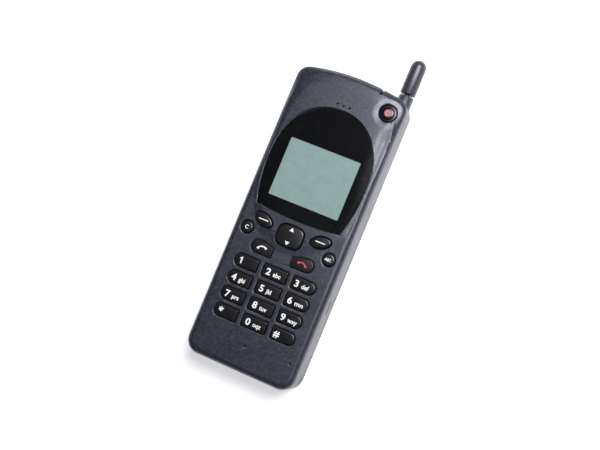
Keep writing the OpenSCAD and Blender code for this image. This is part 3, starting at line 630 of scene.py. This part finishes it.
tray = rear_block(LID_Z)
beyond = bmesh.new()
box_tool(beyond, (-HALF_W - 1, BATTERY_L, -1), (HALF_W + 1, CASE_L + 1, LID_Z + 1))
tray = carve(tray, beyond)
sides = bmesh.new()
slim_x = inner_x - RAIL_T - 0.3
for low_x, high_x in ((-HALF_W - 1, -slim_x), (slim_x, HALF_W + 1)):
    box_tool(sides, (low_x, RAIL_Y - 0.3, SEAM_Z), (high_x, BATTERY_L + 1, LID_Z + 1))
box_tool(sides, (-slim_x + 1.4, 5, 1.4), (slim_x - 1.4, BATTERY_L - 1.4, LID_Z + 1))
tray = carve(tray, sides)
marks = bmesh.new()
box_tool(marks, (-3.9, BATTERY_L - 3, 1.6), (3.9, BATTERY_L + 1, 3.8))
prism(marks, moved(rounded_box(38, 44, 2), 0, 40), -1, 0.3)
for i in range(7):
    width = 26 - 2.2 * abs(i - 3)
    prism(marks, moved(rounded_box(width, 0.9, 0.44), 0, 76 + 2.0 * i), -1, 0.45)
tray = carve(tray, marks)
battery_tray = settle(tray, "battery_tray", 32)
battery_paint = case_plastic("battery_paint", (0.006, 0.008, 0.012), (0.032, 0.036, 0.052), 0.42, 0.6)
fit_piece(battery_tray, battery_paint, "battery", "battery_case")


def dress(name, material):
    """Gives a CAD node its finished material."""
    slots = nodes[name].data.materials
    slots.clear()
    slots.append(material)


def moulded(name, colour, second, roughness, scale=900, grain=0.25, gloss=0.5):
    """Unpainted moulding with a faint mottle and a fine surface."""
    material, tree, shader, place = new_material(name)
    mottle = tree.nodes.new("ShaderNodeTexNoise")
    mottle.inputs["Scale"].default_value = scale
    mottle.inputs["Detail"].default_value = 4
    shade = tree.nodes.new("ShaderNodeValToRGB")
    shade.color_ramp.elements[0].position = 0.3
    shade.color_ramp.elements[0].color = (*colour, 1)
    shade.color_ramp.elements[1].position = 0.7
    shade.color_ramp.elements[1].color = (*second, 1)
    rough = tree.nodes.new("ShaderNodeMapRange")
    rough.inputs["To Min"].default_value = roughness * 0.85
    rough.inputs["To Max"].default_value = roughness * 1.15
    bump = tree.nodes.new("ShaderNodeBump")
    bump.inputs["Strength"].default_value = grain
    bump.inputs["Distance"].default_value = 0.00004
    links = tree.links
    links.new(place.outputs["Object"], mottle.inputs["Vector"])
    links.new(mottle.outputs["Fac"], shade.inputs["Fac"])
    links.new(shade.outputs["Color"], shader.inputs["Base Color"])
    links.new(mottle.outputs["Fac"], rough.inputs["Value"])
    links.new(rough.outputs["Result"], shader.inputs["Roughness"])
    links.new(mottle.outputs["Fac"], bump.inputs["Height"])
    links.new(bump.outputs["Normal"], shader.inputs["Normal"])
    shader.inputs["Specular IOR Level"].default_value = gloss
    return material


dress("battery_lid", moulded("lid_moulding", (0.020, 0.021, 0.026), (0.032, 0.034, 0.040), 0.5))
dress("battery_cells", moulded("cell_sleeve", (0.06, 0.16, 0.30), (0.09, 0.22, 0.38), 0.32, 300))


# ---------------------------------------------------------------------------
# Window and display
# Clear moulded window, cambered like the housing round it, over a black printed
# film. Behind the film's opening lies the grey-green display glass, with a painted glow.
LENS_TOP_GAP = 0.06
lens = bmesh.new()
lens_top = prism(lens, lens_ring(0), LENS_FLOOR_Z + 0.2, FACE_Z + POD_STEP - LENS_TOP_GAP)
round_edges(lens, lens_top.edges, 0.22, 3)
lens_upper = [f for f in lens.faces if f.calc_center_median().z > FACE_Z]
lens_upper = bmesh.ops.triangulate(lens, faces=lens_upper)["faces"]
lens_upper = slice_up(lens, lens_upper, "x", -25.2, 25.2, 2.1)
slice_up(lens, lens_upper, "y", LENS_Y - 26, LENS_Y + 32, 2.1)
for v in lens.verts:
    if v.co.z > FACE_Z:
        v.co.z += relief(v.co.x, v.co.y) - POD_STEP
window = settle(lens, "display_window_lens", 40)

clear_window = bpy.data.materials.new("clear_window")
clear_window.use_nodes = True
tree = clear_window.node_tree
tree.nodes.clear()
window_out = tree.nodes.new("ShaderNodeOutputMaterial")
window_mix = tree.nodes.new("ShaderNodeMixShader")
window_fresnel = tree.nodes.new("ShaderNodeFresnel")
window_fresnel.inputs["IOR"].default_value = 1.12
window_clear = tree.nodes.new("ShaderNodeBsdfTransparent")
window_clear.inputs["Color"].default_value = (0.93, 0.95, 0.95, 1)
window_gloss = tree.nodes.new("ShaderNodeBsdfGlossy")
window_place = tree.nodes.new("ShaderNodeTexCoord")
window_smear = tree.nodes.new("ShaderNodeTexNoise")
window_smear.inputs["Scale"].default_value = 60
window_range = tree.nodes.new("ShaderNodeMapRange")
window_range.inputs["To Min"].default_value = 0.26
window_range.inputs["To Max"].default_value = 0.34
tree.links.new(window_place.outputs["Object"], window_smear.inputs["Vector"])
tree.links.new(window_smear.outputs["Fac"], window_range.inputs["Value"])
tree.links.new(window_range.outputs["Result"], window_gloss.inputs["Roughness"])
tree.links.new(window_fresnel.outputs["Fac"], window_mix.inputs["Fac"])
tree.links.new(window_clear.outputs["BSDF"], window_mix.inputs[1])
tree.links.new(window_gloss.outputs["BSDF"], window_mix.inputs[2])
tree.links.new(window_mix.outputs["Shader"], window_out.inputs["Surface"])
fit_piece(window, clear_window, "handset", "display_window")

film = moulded("black_print", (0.003, 0.003, 0.004), (0.006, 0.006, 0.007), 0.6, 400, 0.05, 0.05)
dress("window_mask", film)
lcd_tint_and_glow = moulded("display_glass_painted_glow", (0.165, 0.22, 0.21), (0.20, 0.265, 0.25), 0.55, 260, 0.05, 0.3)
lcd_shader = lcd_tint_and_glow.node_tree.nodes["Principled BSDF"]
# painted light: a faint green-white glow in the display glass that brightens it
lcd_shader.inputs["Emission Color"].default_value = (0.70, 1.0, 0.96, 1)
lcd_shader.inputs["Emission Strength"].default_value = 0.13
dress("lcd_glass", lcd_tint_and_glow)
dress("lcd_frame", moulded("frame_moulding", (0.55, 0.55, 0.52), (0.66, 0.66, 0.62), 0.5))
dress("light_guide", moulded("guide_acrylic", (0.55, 0.66, 0.50), (0.62, 0.72, 0.56), 0.2, 200, 0.05))
dress("lcd_connector_strip", moulded("strip_rubber", (0.02, 0.02, 0.02), (0.12, 0.11, 0.08), 0.7, 2500))


# ---------------------------------------------------------------------------
# Keys on the front
# Moulded silicone with a hard gloss coat: a cap in its hole, a flange under the
# cover and a contact pill. The legends are printed in white, one in red.
KEY_GAP = 0.22
FLANGE_Z = 21.1
FLANGE_T = 0.7
PILL_Z = 20.4


def coated_rubber(name, colour, second):
    """Silicone rubber under a thin gloss coat."""
    material, tree, shader, place = new_material(name)
    mottle = tree.nodes.new("ShaderNodeTexNoise")
    mottle.inputs["Scale"].default_value = 700
    mottle.inputs["Detail"].default_value = 5
    shade = tree.nodes.new("ShaderNodeValToRGB")
    shade.color_ramp.elements[0].color = (*colour, 1)
    shade.color_ramp.elements[1].color = (*second, 1)
    rough = tree.nodes.new("ShaderNodeMapRange")
    rough.inputs["To Min"].default_value = 0.26
    rough.inputs["To Max"].default_value = 0.40
    bump = tree.nodes.new("ShaderNodeBump")
    bump.inputs["Strength"].default_value = 0.12
    bump.inputs["Distance"].default_value = 0.00003
    links = tree.links
    links.new(place.outputs["Object"], mottle.inputs["Vector"])
    links.new(mottle.outputs["Fac"], shade.inputs["Fac"])
    links.new(shade.outputs["Color"], shader.inputs["Base Color"])
    links.new(mottle.outputs["Fac"], rough.inputs["Value"])
    links.new(rough.outputs["Result"], shader.inputs["Roughness"])
    links.new(mottle.outputs["Fac"], bump.inputs["Height"])
    links.new(bump.outputs["Normal"], shader.inputs["Normal"])
    shader.inputs["Coat Weight"].default_value = 0.15
    shader.inputs["Coat Roughness"].default_value = 0.15
    return material


key_black = coated_rubber("key_black", (0.003, 0.003, 0.004), (0.008, 0.008, 0.010))


def key_piece(
    name, outline, x, y, top_z, flip=False, flange_z=FLANGE_Z, pills=(0,), pill_z=PILL_Z, edge=0.85,
):
    """One key: flange, cap with a rounded top edge, and its pills."""
    bm = bmesh.new()
    prism(bm, moved(outline(0.6 - KEY_GAP), x, y, flip), flange_z, flange_z + FLANGE_T)
    cap = prism(bm, moved(outline(-KEY_GAP), x, y, flip), flange_z + FLANGE_T, top_z)
    round_edges(bm, cap.edges, edge, 5)
    for dy in pills:
        lathe_z(bm, x, y + dy, pill_z, flange_z, 1.9, 28)
    return settle(bm, name, 42)


NUMBER_NAMES = ["key_1", "key_2", "key_3", "key_4", "key_5", "key_6",
                "key_7", "key_8", "key_9", "key_star", "key_0", "key_hash"]
NUMBER_TOP = FACE_Z + 1
for i, name in enumerate(NUMBER_NAMES):
    x, y, column = number_place(i)
    key = key_piece(name + "_cap", side_key if column else middle_key, x, y, NUMBER_TOP, column < 0)
    fit_piece(key, key_black, name, name)


def ink(name, colour):
    """Printed paint, a little uneven; also carries the power button's painted highlight."""
    material, tree, shader, place = new_material(name)
    speck = tree.nodes.new("ShaderNodeTexNoise")
    speck.inputs["Scale"].default_value = 1800
    shade = tree.nodes.new("ShaderNodeValToRGB")
    shade.color_ramp.elements[0].color = (*[c * 0.86 for c in colour], 1)
    shade.color_ramp.elements[1].color = (*colour, 1)
    tree.links.new(place.outputs["Object"], speck.inputs["Vector"])
    tree.links.new(speck.outputs["Fac"], shade.inputs["Fac"])
    tree.links.new(shade.outputs["Color"], shader.inputs["Base Color"])
    shader.inputs["Roughness"].default_value = 0.5
    return material


white_ink = ink("white_ink", (0.90, 0.90, 0.92))
red_ink = ink("red_ink", (0.62, 0.06, 0.09))


def curve_to_bmesh(source):
    """Turns a text or curve object into a bmesh and clears the source away."""
    scene.collection.objects.link(source)
    bpy.context.view_layer.update()
    drawn = source.evaluated_get(bpy.context.evaluated_depsgraph_get())
    mesh = bpy.data.meshes.new_from_object(drawn)
    bm = bmesh.new()
    bm.from_mesh(mesh)
    bpy.data.meshes.remove(mesh)
    data = source.data
    bpy.data.objects.remove(source)
    bpy.data.curves.remove(data)
    return bm


def lettering(text, x, y, z, size, weight, squeeze=1.0):
    """Flat raised letters as a bmesh: left edge at x, baseline at y, in millimetres."""
    data = bpy.data.curves.new("letters", "FONT")
    data.body = text
    data.size = size
    data.offset = weight
    data.extrude = 0.012
    data.resolution_u = 4
    source = bpy.data.objects.new("letters", data)
    bm = curve_to_bmesh(source)
    bmesh.ops.scale(bm, vec=(squeeze, 1, 1), verts=bm.verts)
    bmesh.ops.translate(bm, vec=(x, y, z), verts=bm.verts)
    return bm


def joined(parts):
    """Puts several bmeshes into one."""
    whole = bmesh.new()
    for part in parts:
        mesh = bpy.data.meshes.new("part")
        part.to_mesh(mesh)
        part.free()
        whole.from_mesh(mesh)
        bpy.data.meshes.remove(mesh)
    return whole


def print_on(name, bm, body, material):
    piece = settle(bm, name, 30)
    piece.data.materials.append(material)
    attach(piece, body)


LEGENDS = [("1", ""), ("2", "abc"), ("3", "def"), ("4", "ghi"), ("5", "jkl"), ("6", "mn"),
           ("7", "prs"), ("8", "tuv"), ("9", "wxy"), ("*", ""), ("0", "oqz"), ("#", "")]
DIGIT_SIZE = 4.4
LETTER_SIZE = 2.9
for i, (digit, letters) in enumerate(LEGENDS):
    x, y, column = number_place(i)
    left = x - 2.7 + 0.5 * (column < 0) - 0.3 * (column > 0)
    print_z = NUMBER_TOP + 0.012
    drop = 2.1 if digit == "*" else 1.55
    if digit == "1":
        one = bmesh.new()
        ring = [(0.95, 0), (0.95, 3.25), (0.45, 3.25), (-0.35, 2.55), (-0.35, 2.0), (0.3, 2.4), (0.3, 0)]
        prism(one, moved(ring, left - 0.6, y - 1.6), print_z - 0.012, print_z + 0.012)
        parts = [one]
    else:
        indent = 1.15 if digit == "*" else 1.4
        size = DIGIT_SIZE * (1.15 if digit == "*" else 1)
        parts = [lettering(digit, left - indent, y - drop, print_z, size, 0.12, 1.06)]
    if letters:
        spread = 1.2 if letters == "mn" else 0.97
        parts.append(lettering(letters, left + 2.35, y - 1.4, print_z, LETTER_SIZE, 0.08, spread))
    print_on(NUMBER_NAMES[i] + "_legend", joined(parts), NUMBER_NAMES[i], white_ink)

# call keys, with a lifted handset and a handset laid down
for side, name in ((-1, "send_key"), (1, "end_key")):
    key = key_piece(name + "_cap", call_key, side * CALL_X, CALL_Y, FACE_Z + 1, side < 0)
    fit_piece(key, key_black, name, name)
    receiver = bmesh.new()
    tilt = math.radians(-8 if side > 0 else 14)
    spine = arc(0, -2.6, 2.9, 150, 30, 14)
    thick = [0.62 if abs(k - 7) > 4 else 0.36 for k in range(15)]
    outer = [(px * (1 + t / 2.9), (py + 2.6) * (1 + t / 2.9) - 2.6) for (px, py), t in zip(spine, thick)]
    inner = [(px * (1 - t / 2.9), (py + 2.6) * (1 - t / 2.9) - 2.6) for (px, py), t in zip(spine, thick)]
    ring = [
        (px * math.cos(tilt) - py * math.sin(tilt), px * math.sin(tilt) + py * math.cos(tilt))
        for px, py in [(0.86 * qx, 0.86 * qy) for qx, qy in inner + outer[::-1]]
    ]
    prism(receiver, moved(ring, side * CALL_X + 0.1, CALL_Y + 0.3), FACE_Z + 1.0, FACE_Z + 1.022)
    print_on(name + "_symbol", receiver, name, red_ink if side > 0 else white_ink)

# rocking key: a rounded cap with a mark at each end
NAV_TOP = FACE_Z + 1.4
rocker = key_piece(
    "navigation_key_cap", navigation_key, 0, NAV_Y, NAV_TOP, flange_z=FLANGE_Z - 0.3,
    pills=(-4.2, 4.2), pill_z=20.13, edge=1.0,
)
fit_piece(rocker, key_black, "navigation_key", "navigation_key")
arrows = bmesh.new()
for end in (-1, 1):
    ring = [(-1.15, -0.75 * end), (1.15, -0.75 * end), (0, 1.0 * end)]
    prism(arrows, moved(ring if end > 0 else ring[::-1], 0, NAV_Y + 3.3 * end), NAV_TOP, NAV_TOP + 0.022)
print_on("navigation_key_arrows", arrows, "navigation_key", white_ink)

# soft keys with a dash each
for side, name in ((-1, "left_soft_key"), (1, "right_soft_key")):
    top_z = FACE_Z + 1.3
    key = key_piece(name + "_cap", soft_key, side * SOFT_X, SOFT_Y, top_z, side < 0)
    fit_piece(key, key_black, name, name)
    dash = bmesh.new()
    prism(dash, moved(rounded_box(4.9, 0.46, 0.12, 2), side * SOFT_X, SOFT_Y), top_z, top_z + 0.022)
    print_on(name + "_dash", dash, name, white_ink)

# two small round keys
for side, name, letters in ((-1, "clear_key", "C"), (1, "letters_key", "ABC")):
    top_z = FACE_Z + 0.6
    key = key_piece(name + "_cap", round_key, side * ROUND_X, ROUND_Y, top_z, edge=0.9)
    fit_piece(key, key_black, name, name)
    size, weight, squeeze = (2.6, 0.05, 1) if letters == "C" else (2.0, 0.05, 0.8)
    width = {"C": 1.75, "ABC": 3.6}[letters]
    left, baseline = side * ROUND_X - width / 2, ROUND_Y - 0.35 * size
    mark = lettering(letters, left, baseline, top_z + 0.012, size, weight, squeeze)
    print_on(name + "_legend", mark, name, white_ink)


# ---------------------------------------------------------------------------
# Power button
# Moulded black dome that stands through a hole in its own dimple, at the top
# right corner. Its face carries a printed power mark; a dull red spot under it and
# the mark's pale pink are painted highlight, the dome's shine over its red print.
BUTTON_TOP = FACE_Z + 0.5
button = bmesh.new()
profile = [(0, 16.9), (1.2, 16.9), (1.2, 18.7), (4.6, 18.7), (4.6, 19.4), (4.08, 19.4), (4.08, 22.6)]
profile += [
    (4.08 - 0.5 * (1 - math.cos(t)), 22.6 + 0.5 * math.sin(t))
    for t in [math.radians(a) for a in (20, 45, 70, 90)]
]
profile += [(3.2, 23.15), (3.0, 23.4)]
profile += [
    (3.0 * math.cos(t), 23.4 + 0.68 * math.sin(t))
    for t in [math.radians(a) for a in (15, 30, 45, 60, 75)]
]
profile.append((0, BUTTON_TOP - 0.02))
line = [button.verts.new((POWER_X + r, POWER_Y, z)) for r, z in profile]
edges = [button.edges.new(pair) for pair in zip(line, line[1:])]
bmesh.ops.spin(
    button, geom=line + edges, cent=(POWER_X, POWER_Y, 0), axis=(0, 0, 1), angle=2 * math.pi,
    steps=56, use_merge=True, use_duplicate=False,
)
power_dome = settle(button, "power_button_dome", 40)
fit_piece(power_dome, key_black, "power_button", "power_button")
# painted highlight: a dull red disc that stands for the dome's shine over its red print
spot = bmesh.new()
prism(spot, moved(arc(0, 0, 1.8, 0, 350, 35), POWER_X, POWER_Y), BUTTON_TOP - 0.2, BUTTON_TOP - 0.02)
print_on("power_button_highlight_spot", spot, "power_button", ink("red_spot_painted_highlight", (0.30, 0.075, 0.095)))
# printed power mark, in a pale pink that adds painted highlight to its red
mark = bmesh.new()
ring = arc(0, 0, 1.2, 55, -235, 30) + arc(0, 0, 0.85, -235, 55, 30)
prism(mark, moved(ring[::-1], POWER_X, POWER_Y), BUTTON_TOP - 0.1, BUTTON_TOP)
prism(mark, moved(rounded_box(0.34, 1.1, 0.1, 2), POWER_X, POWER_Y + 0.75), BUTTON_TOP - 0.1, BUTTON_TOP)
print_on("power_button_mark", mark, "power_button", ink("pink_print_and_painted_highlight", (0.62, 0.36, 0.40)))


# ---------------------------------------------------------------------------
# Volume keys
# Two small bars of moulded black rubber in slots in the left wall. A wider back
# plate behind the wall keeps each of them in.
VOLUME_OUT = 0.8
VOLUME_BACK = -HALF_W + 1.8
for name, y in zip(("volume_up_key", "volume_down_key"), VOLUME_Y):
    half_l = VOLUME_L / 2
    bar = bmesh.new()
    box_tool(bar, (-HALF_W - VOLUME_OUT, y - half_l, VOLUME_LOW), (VOLUME_BACK, y + half_l, VOLUME_HIGH))
    outer = [e for e in bar.edges if all(v.co.x < -HALF_W for v in e.verts)]
    round_edges(bar, outer, 0.5, 4)
    plate_low = (VOLUME_BACK, y - half_l - 0.7, VOLUME_LOW - 0.5)
    box_tool(bar, plate_low, (VOLUME_BACK + 0.6, y + half_l + 0.7, VOLUME_HIGH + 0.5))
    key = settle(bar, name + "_bar", 40)
    fit_piece(key, key_black, name, name)


# ---------------------------------------------------------------------------
# Antenna
# Moulded cap on a coated steel whip, which slides in a collar screwed into the
# case's top right corner.
def turned_y(points, x, z, steps=64):
    """Spins a profile of (radius, y) points round an axis along Y."""
    bm = bmesh.new()
    line = [bm.verts.new((x + r, y, z)) for r, y in points]
    edges = [bm.edges.new(pair) for pair in zip(line, line[1:])]
    bmesh.ops.spin(
        bm, geom=line + edges, cent=(x, 0, z), axis=(0, 1, 0), angle=2 * math.pi,
        steps=steps, use_merge=True, use_duplicate=False,
    )
    return bm


CAP_Y, CAP_L, CAP_R = CASE_L + 2.6, 17.5, 3.75
cap_profile = [(0, CAP_Y), (CAP_R - 0.5, CAP_Y), (CAP_R - 0.15, CAP_Y + 0.1), (CAP_R, CAP_Y + 0.4)]
cap_profile += [(CAP_R, CAP_Y + CAP_L - 4.4), (CAP_R - 0.05, CAP_Y + CAP_L - 3.7)]
cap_profile += [
    ((CAP_R - 0.05) * math.cos(t), CAP_Y + CAP_L - 3.7 + 3.7 * math.sin(t))
    for t in [math.radians(a) for a in range(8, 84, 8)]
]
cap_profile.append((0, CAP_Y + CAP_L))
cap = settle(turned_y(cap_profile, ANTENNA_X, ANTENNA_Z), "antenna_cap_turned", 40)
antenna_plastic = case_plastic("antenna_plastic", (0.022, 0.024, 0.030), (0.038, 0.041, 0.052), 0.42, 0.2)
fit_piece(cap, antenna_plastic, "antenna", "antenna_cap")

COLLAR_END = CASE_L + 1.6
FERRULE_Y = CASE_L - 15.4
collar_profile = [(1.18, COLLAR_END), (3.0, COLLAR_END), (3.45, COLLAR_END - 0.1), (3.65, COLLAR_END - 0.4)]
collar_profile += [(3.65, COLLAR_Y), (2.6, COLLAR_Y), (2.6, FERRULE_Y)]
collar_profile += [(1.18, FERRULE_Y), (1.18, COLLAR_END)]
collar = settle(turned_y(collar_profile, ANTENNA_X, ANTENNA_Z), "antenna_collar_turned", 40)
fit_piece(collar, antenna_plastic, "handset", "antenna_collar")
dress("antenna_whip", moulded("whip_coat", (0.010, 0.010, 0.012), (0.018, 0.018, 0.020), 0.28, 600))


# ---------------------------------------------------------------------------
# Battery catch
# Black moulded slider in a slot in the rear cover. It has finger ribs across it,
# and a coil spring pushes its tongue into the battery.
CATCH_FRONT = BAY_END + WALL + 0.3
CATCH_BACK = BAY_END + WALL + 6
CATCH_Z = WALL + 0.4
slider = bmesh.new()
box_tool(slider, (-7.7, CATCH_FRONT, 0.3), (7.7, CATCH_BACK, CATCH_Z + 1.2))
slider.normal_update()
low_edges = [e for e in slider.edges if all(v.co.z < 1 for v in e.verts)]
round_edges(slider, low_edges, 0.35, 3)
box_tool(slider, (-9.4, CATCH_FRONT, CATCH_Z), (-7.7, CATCH_BACK, CATCH_Z + 1.2))
box_tool(slider, (7.7, CATCH_FRONT, CATCH_Z), (9.4, CATCH_BACK, CATCH_Z + 1.2))
box_tool(slider, (-3.5, BATTERY_L - 1, CATCH_Z), (3.5, CATCH_FRONT, CATCH_Z + 1.2))
ribs = bmesh.new()
for i in range(5):
    prism(ribs, moved(rounded_box(11, 0.45, 0.2), 0, CATCH_FRONT + 0.9 + 0.98 * i), -1, 0.62)
catch = settle(carve(slider, ribs), "battery_catch_slider", 30)
catch_black = moulded("catch_moulding", (0.010, 0.010, 0.011), (0.020, 0.020, 0.022), 0.4)
fit_piece(catch, catch_black, "battery_catch", "battery_latch")


# ---------------------------------------------------------------------------
# Metal parts
# Gold-plated springs and contacts, tinned sheet over the circuits, zinc-plated
# screws and a cast frame. The catch's spring is wound from round wire.
def metal(name, colour, second, roughness, scale=500):
    """Bare or plated metal with uneven colour and polish."""
    material, tree, shader, place = new_material(name)
    brush = tree.nodes.new("ShaderNodeTexNoise")
    brush.inputs["Scale"].default_value = scale
    brush.inputs["Detail"].default_value = 6
    shade = tree.nodes.new("ShaderNodeValToRGB")
    shade.color_ramp.elements[0].position = 0.25
    shade.color_ramp.elements[0].color = (*colour, 1)
    shade.color_ramp.elements[1].position = 0.75
    shade.color_ramp.elements[1].color = (*second, 1)
    rough = tree.nodes.new("ShaderNodeMapRange")
    rough.inputs["To Min"].default_value = roughness * 0.7
    rough.inputs["To Max"].default_value = roughness * 1.4
    links = tree.links
    links.new(place.outputs["Object"], brush.inputs["Vector"])
    links.new(brush.outputs["Fac"], shade.inputs["Fac"])
    links.new(shade.outputs["Color"], shader.inputs["Base Color"])
    links.new(brush.outputs["Fac"], rough.inputs["Value"])
    links.new(rough.outputs["Result"], shader.inputs["Roughness"])
    shader.inputs["Metallic"].default_value = 1.0
    return material


gold = metal("contact_gold", (0.75, 0.52, 0.20), (0.86, 0.64, 0.30), 0.22)
tin = metal("tinned_sheet", (0.55, 0.56, 0.57), (0.70, 0.71, 0.72), 0.30, 260)
zinc = metal("zinc_plate", (0.45, 0.45, 0.46), (0.60, 0.60, 0.61), 0.32)
cast = metal("cast_frame", (0.36, 0.36, 0.36), (0.48, 0.48, 0.48), 0.55, 900)
for name in ("battery_contacts", "battery_springs", "antenna_clip"):
    dress(name, gold)
for name in ("rf_shield", "logic_shield", "key_switches", "earpiece", "microphone"):
    dress(name, tin)
dress("case_screws", zinc)
dress("chassis_frame", cast)

# catch spring: the coil itself
coil = bpy.data.curves.new("catch_coil", "CURVE")
coil.dimensions = "3D"
coil.bevel_depth = 0.2 * MM
coil.bevel_resolution = 3
turns, per_turn = 7, 16
strand = coil.splines.new("POLY")
strand.points.add(turns * per_turn)
for i, point in enumerate(strand.points):
    turn = 2 * math.pi * i / per_turn
    along = CATCH_BACK + 0.25 + 5.3 * i / (turns * per_turn)
    place = at(1.1 * math.cos(turn), along, CATCH_Z + 1 + 1.1 * math.sin(turn))
    point.co = (*place, 1)
coil_bm = curve_to_bmesh(bpy.data.objects.new("catch_coil", coil))
bmesh.ops.transform(
    coil_bm, matrix=Matrix.Scale(1 / MM, 4) @ Matrix.Translation(-CASE_MIDDLE), verts=coil_bm.verts,
)
spring = settle(coil_bm, "catch_spring_coil", 60)
fit_piece(spring, zinc, "handset", "latch_spring")
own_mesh(spring)


# ---------------------------------------------------------------------------
# Boards and what stands on them
# Glass fibre boards under green lacquer, with black epoxy chips, a nylon
# connector and clear lamps soldered on, and soft rubber seats and mat.
def solder_mask(name):
    """Green lacquer over glass fibre, with tracks showing through as lighter lines."""
    material, tree, shader, place = new_material(name)
    tracks = tree.nodes.new("ShaderNodeTexBrick")
    tracks.inputs["Scale"].default_value = 260
    tracks.inputs["Color1"].default_value = (0.010, 0.085, 0.030, 1)
    tracks.inputs["Color2"].default_value = (0.014, 0.110, 0.040, 1)
    tracks.inputs["Mortar"].default_value = (0.030, 0.200, 0.075, 1)
    tracks.inputs["Mortar Size"].default_value = 0.06
    bump = tree.nodes.new("ShaderNodeBump")
    bump.inputs["Strength"].default_value = 0.3
    bump.inputs["Distance"].default_value = 0.00003
    tree.links.new(place.outputs["Object"], tracks.inputs["Vector"])
    tree.links.new(tracks.outputs["Color"], shader.inputs["Base Color"])
    tree.links.new(tracks.outputs["Fac"], bump.inputs["Height"])
    tree.links.new(bump.outputs["Normal"], shader.inputs["Normal"])
    shader.inputs["Roughness"].default_value = 0.3
    return material


board_green = solder_mask("board_green")
for name in ("main_board", "keypad_board"):
    dress(name, board_green)
epoxy = moulded("chip_epoxy", (0.012, 0.012, 0.013), (0.025, 0.025, 0.027), 0.55)
for name in ("board_chips", "buzzer"):
    dress(name, epoxy)
dress("board_connector", moulded("cream_nylon", (0.60, 0.57, 0.44), (0.68, 0.65, 0.52), 0.45))
dress("backlight_leds", moulded("led_epoxy", (0.70, 0.72, 0.45), (0.80, 0.82, 0.55), 0.15))
dress("keypad_mat", moulded("mat_silicone", (0.26, 0.28, 0.26), (0.33, 0.35, 0.33), 0.6))
soft_black = moulded("soft_black", (0.012, 0.012, 0.012), (0.022, 0.022, 0.022), 0.75)
for name in ("earpiece_gasket", "microphone_boot"):
    dress(name, soft_black)


# ---------------------------------------------------------------------------
# SIM card and holder
# White card with six gold contact pads, in a black holder on the board's back.
holder_black = moulded("holder_black", (0.012, 0.012, 0.013), (0.024, 0.024, 0.026), 0.42)
dress("sim_holder", holder_black)
dress("sim_card", moulded("card_white", (0.70, 0.70, 0.68), (0.80, 0.80, 0.78), 0.4, 300))
SIM_Y = 42
SIM_Z = BAY_Z + FLOOR_T + 0.6
pads = bmesh.new()
for i in range(3):
    for side in (-1, 1):
        ring = moved(rounded_box(3.6, 2.4, 0.4, 3), side * 3.0, SIM_Y + 4.4 + 2.9 * i)
        prism(pads, ring, SIM_Z - 0.03, SIM_Z + 0.02)
sim_pads = settle(pads, "sim_card_pads", 30)
sim_pads.data.materials.append(gold)
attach(sim_pads, "sim")


# ---------------------------------------------------------------------------
# Foot connector
# Black moulding in the foot with a wide contact slot and a round charger socket.
dress("system_connector", holder_black)
FOOT_Z = 14.4
contacts = bmesh.new()
for i in range(11):
    x = -12.6 + 1.72 * i
    box_tool(contacts, (x - 0.4, 1.6, FOOT_Z - 0.55), (x + 0.4, 7.4, FOOT_Z - 0.25))
lathe_y(contacts, 11.5, FOOT_Z, 3.0, 7.5, 0.55, 24)
foot_pins = settle(contacts, "foot_connector_pins", 30)
foot_pins.data.materials.append(gold)
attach(foot_pins, "handset")
tongue = bmesh.new()
box_tool(tongue, (-13.4, 1.4, FOOT_Z - 0.25), (5.4, 7.5, FOOT_Z + 0.55))
foot_tongue = settle(tongue, "foot_connector_tongue", 30)
foot_tongue.data.materials.append(holder_black)
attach(foot_tongue, "handset")
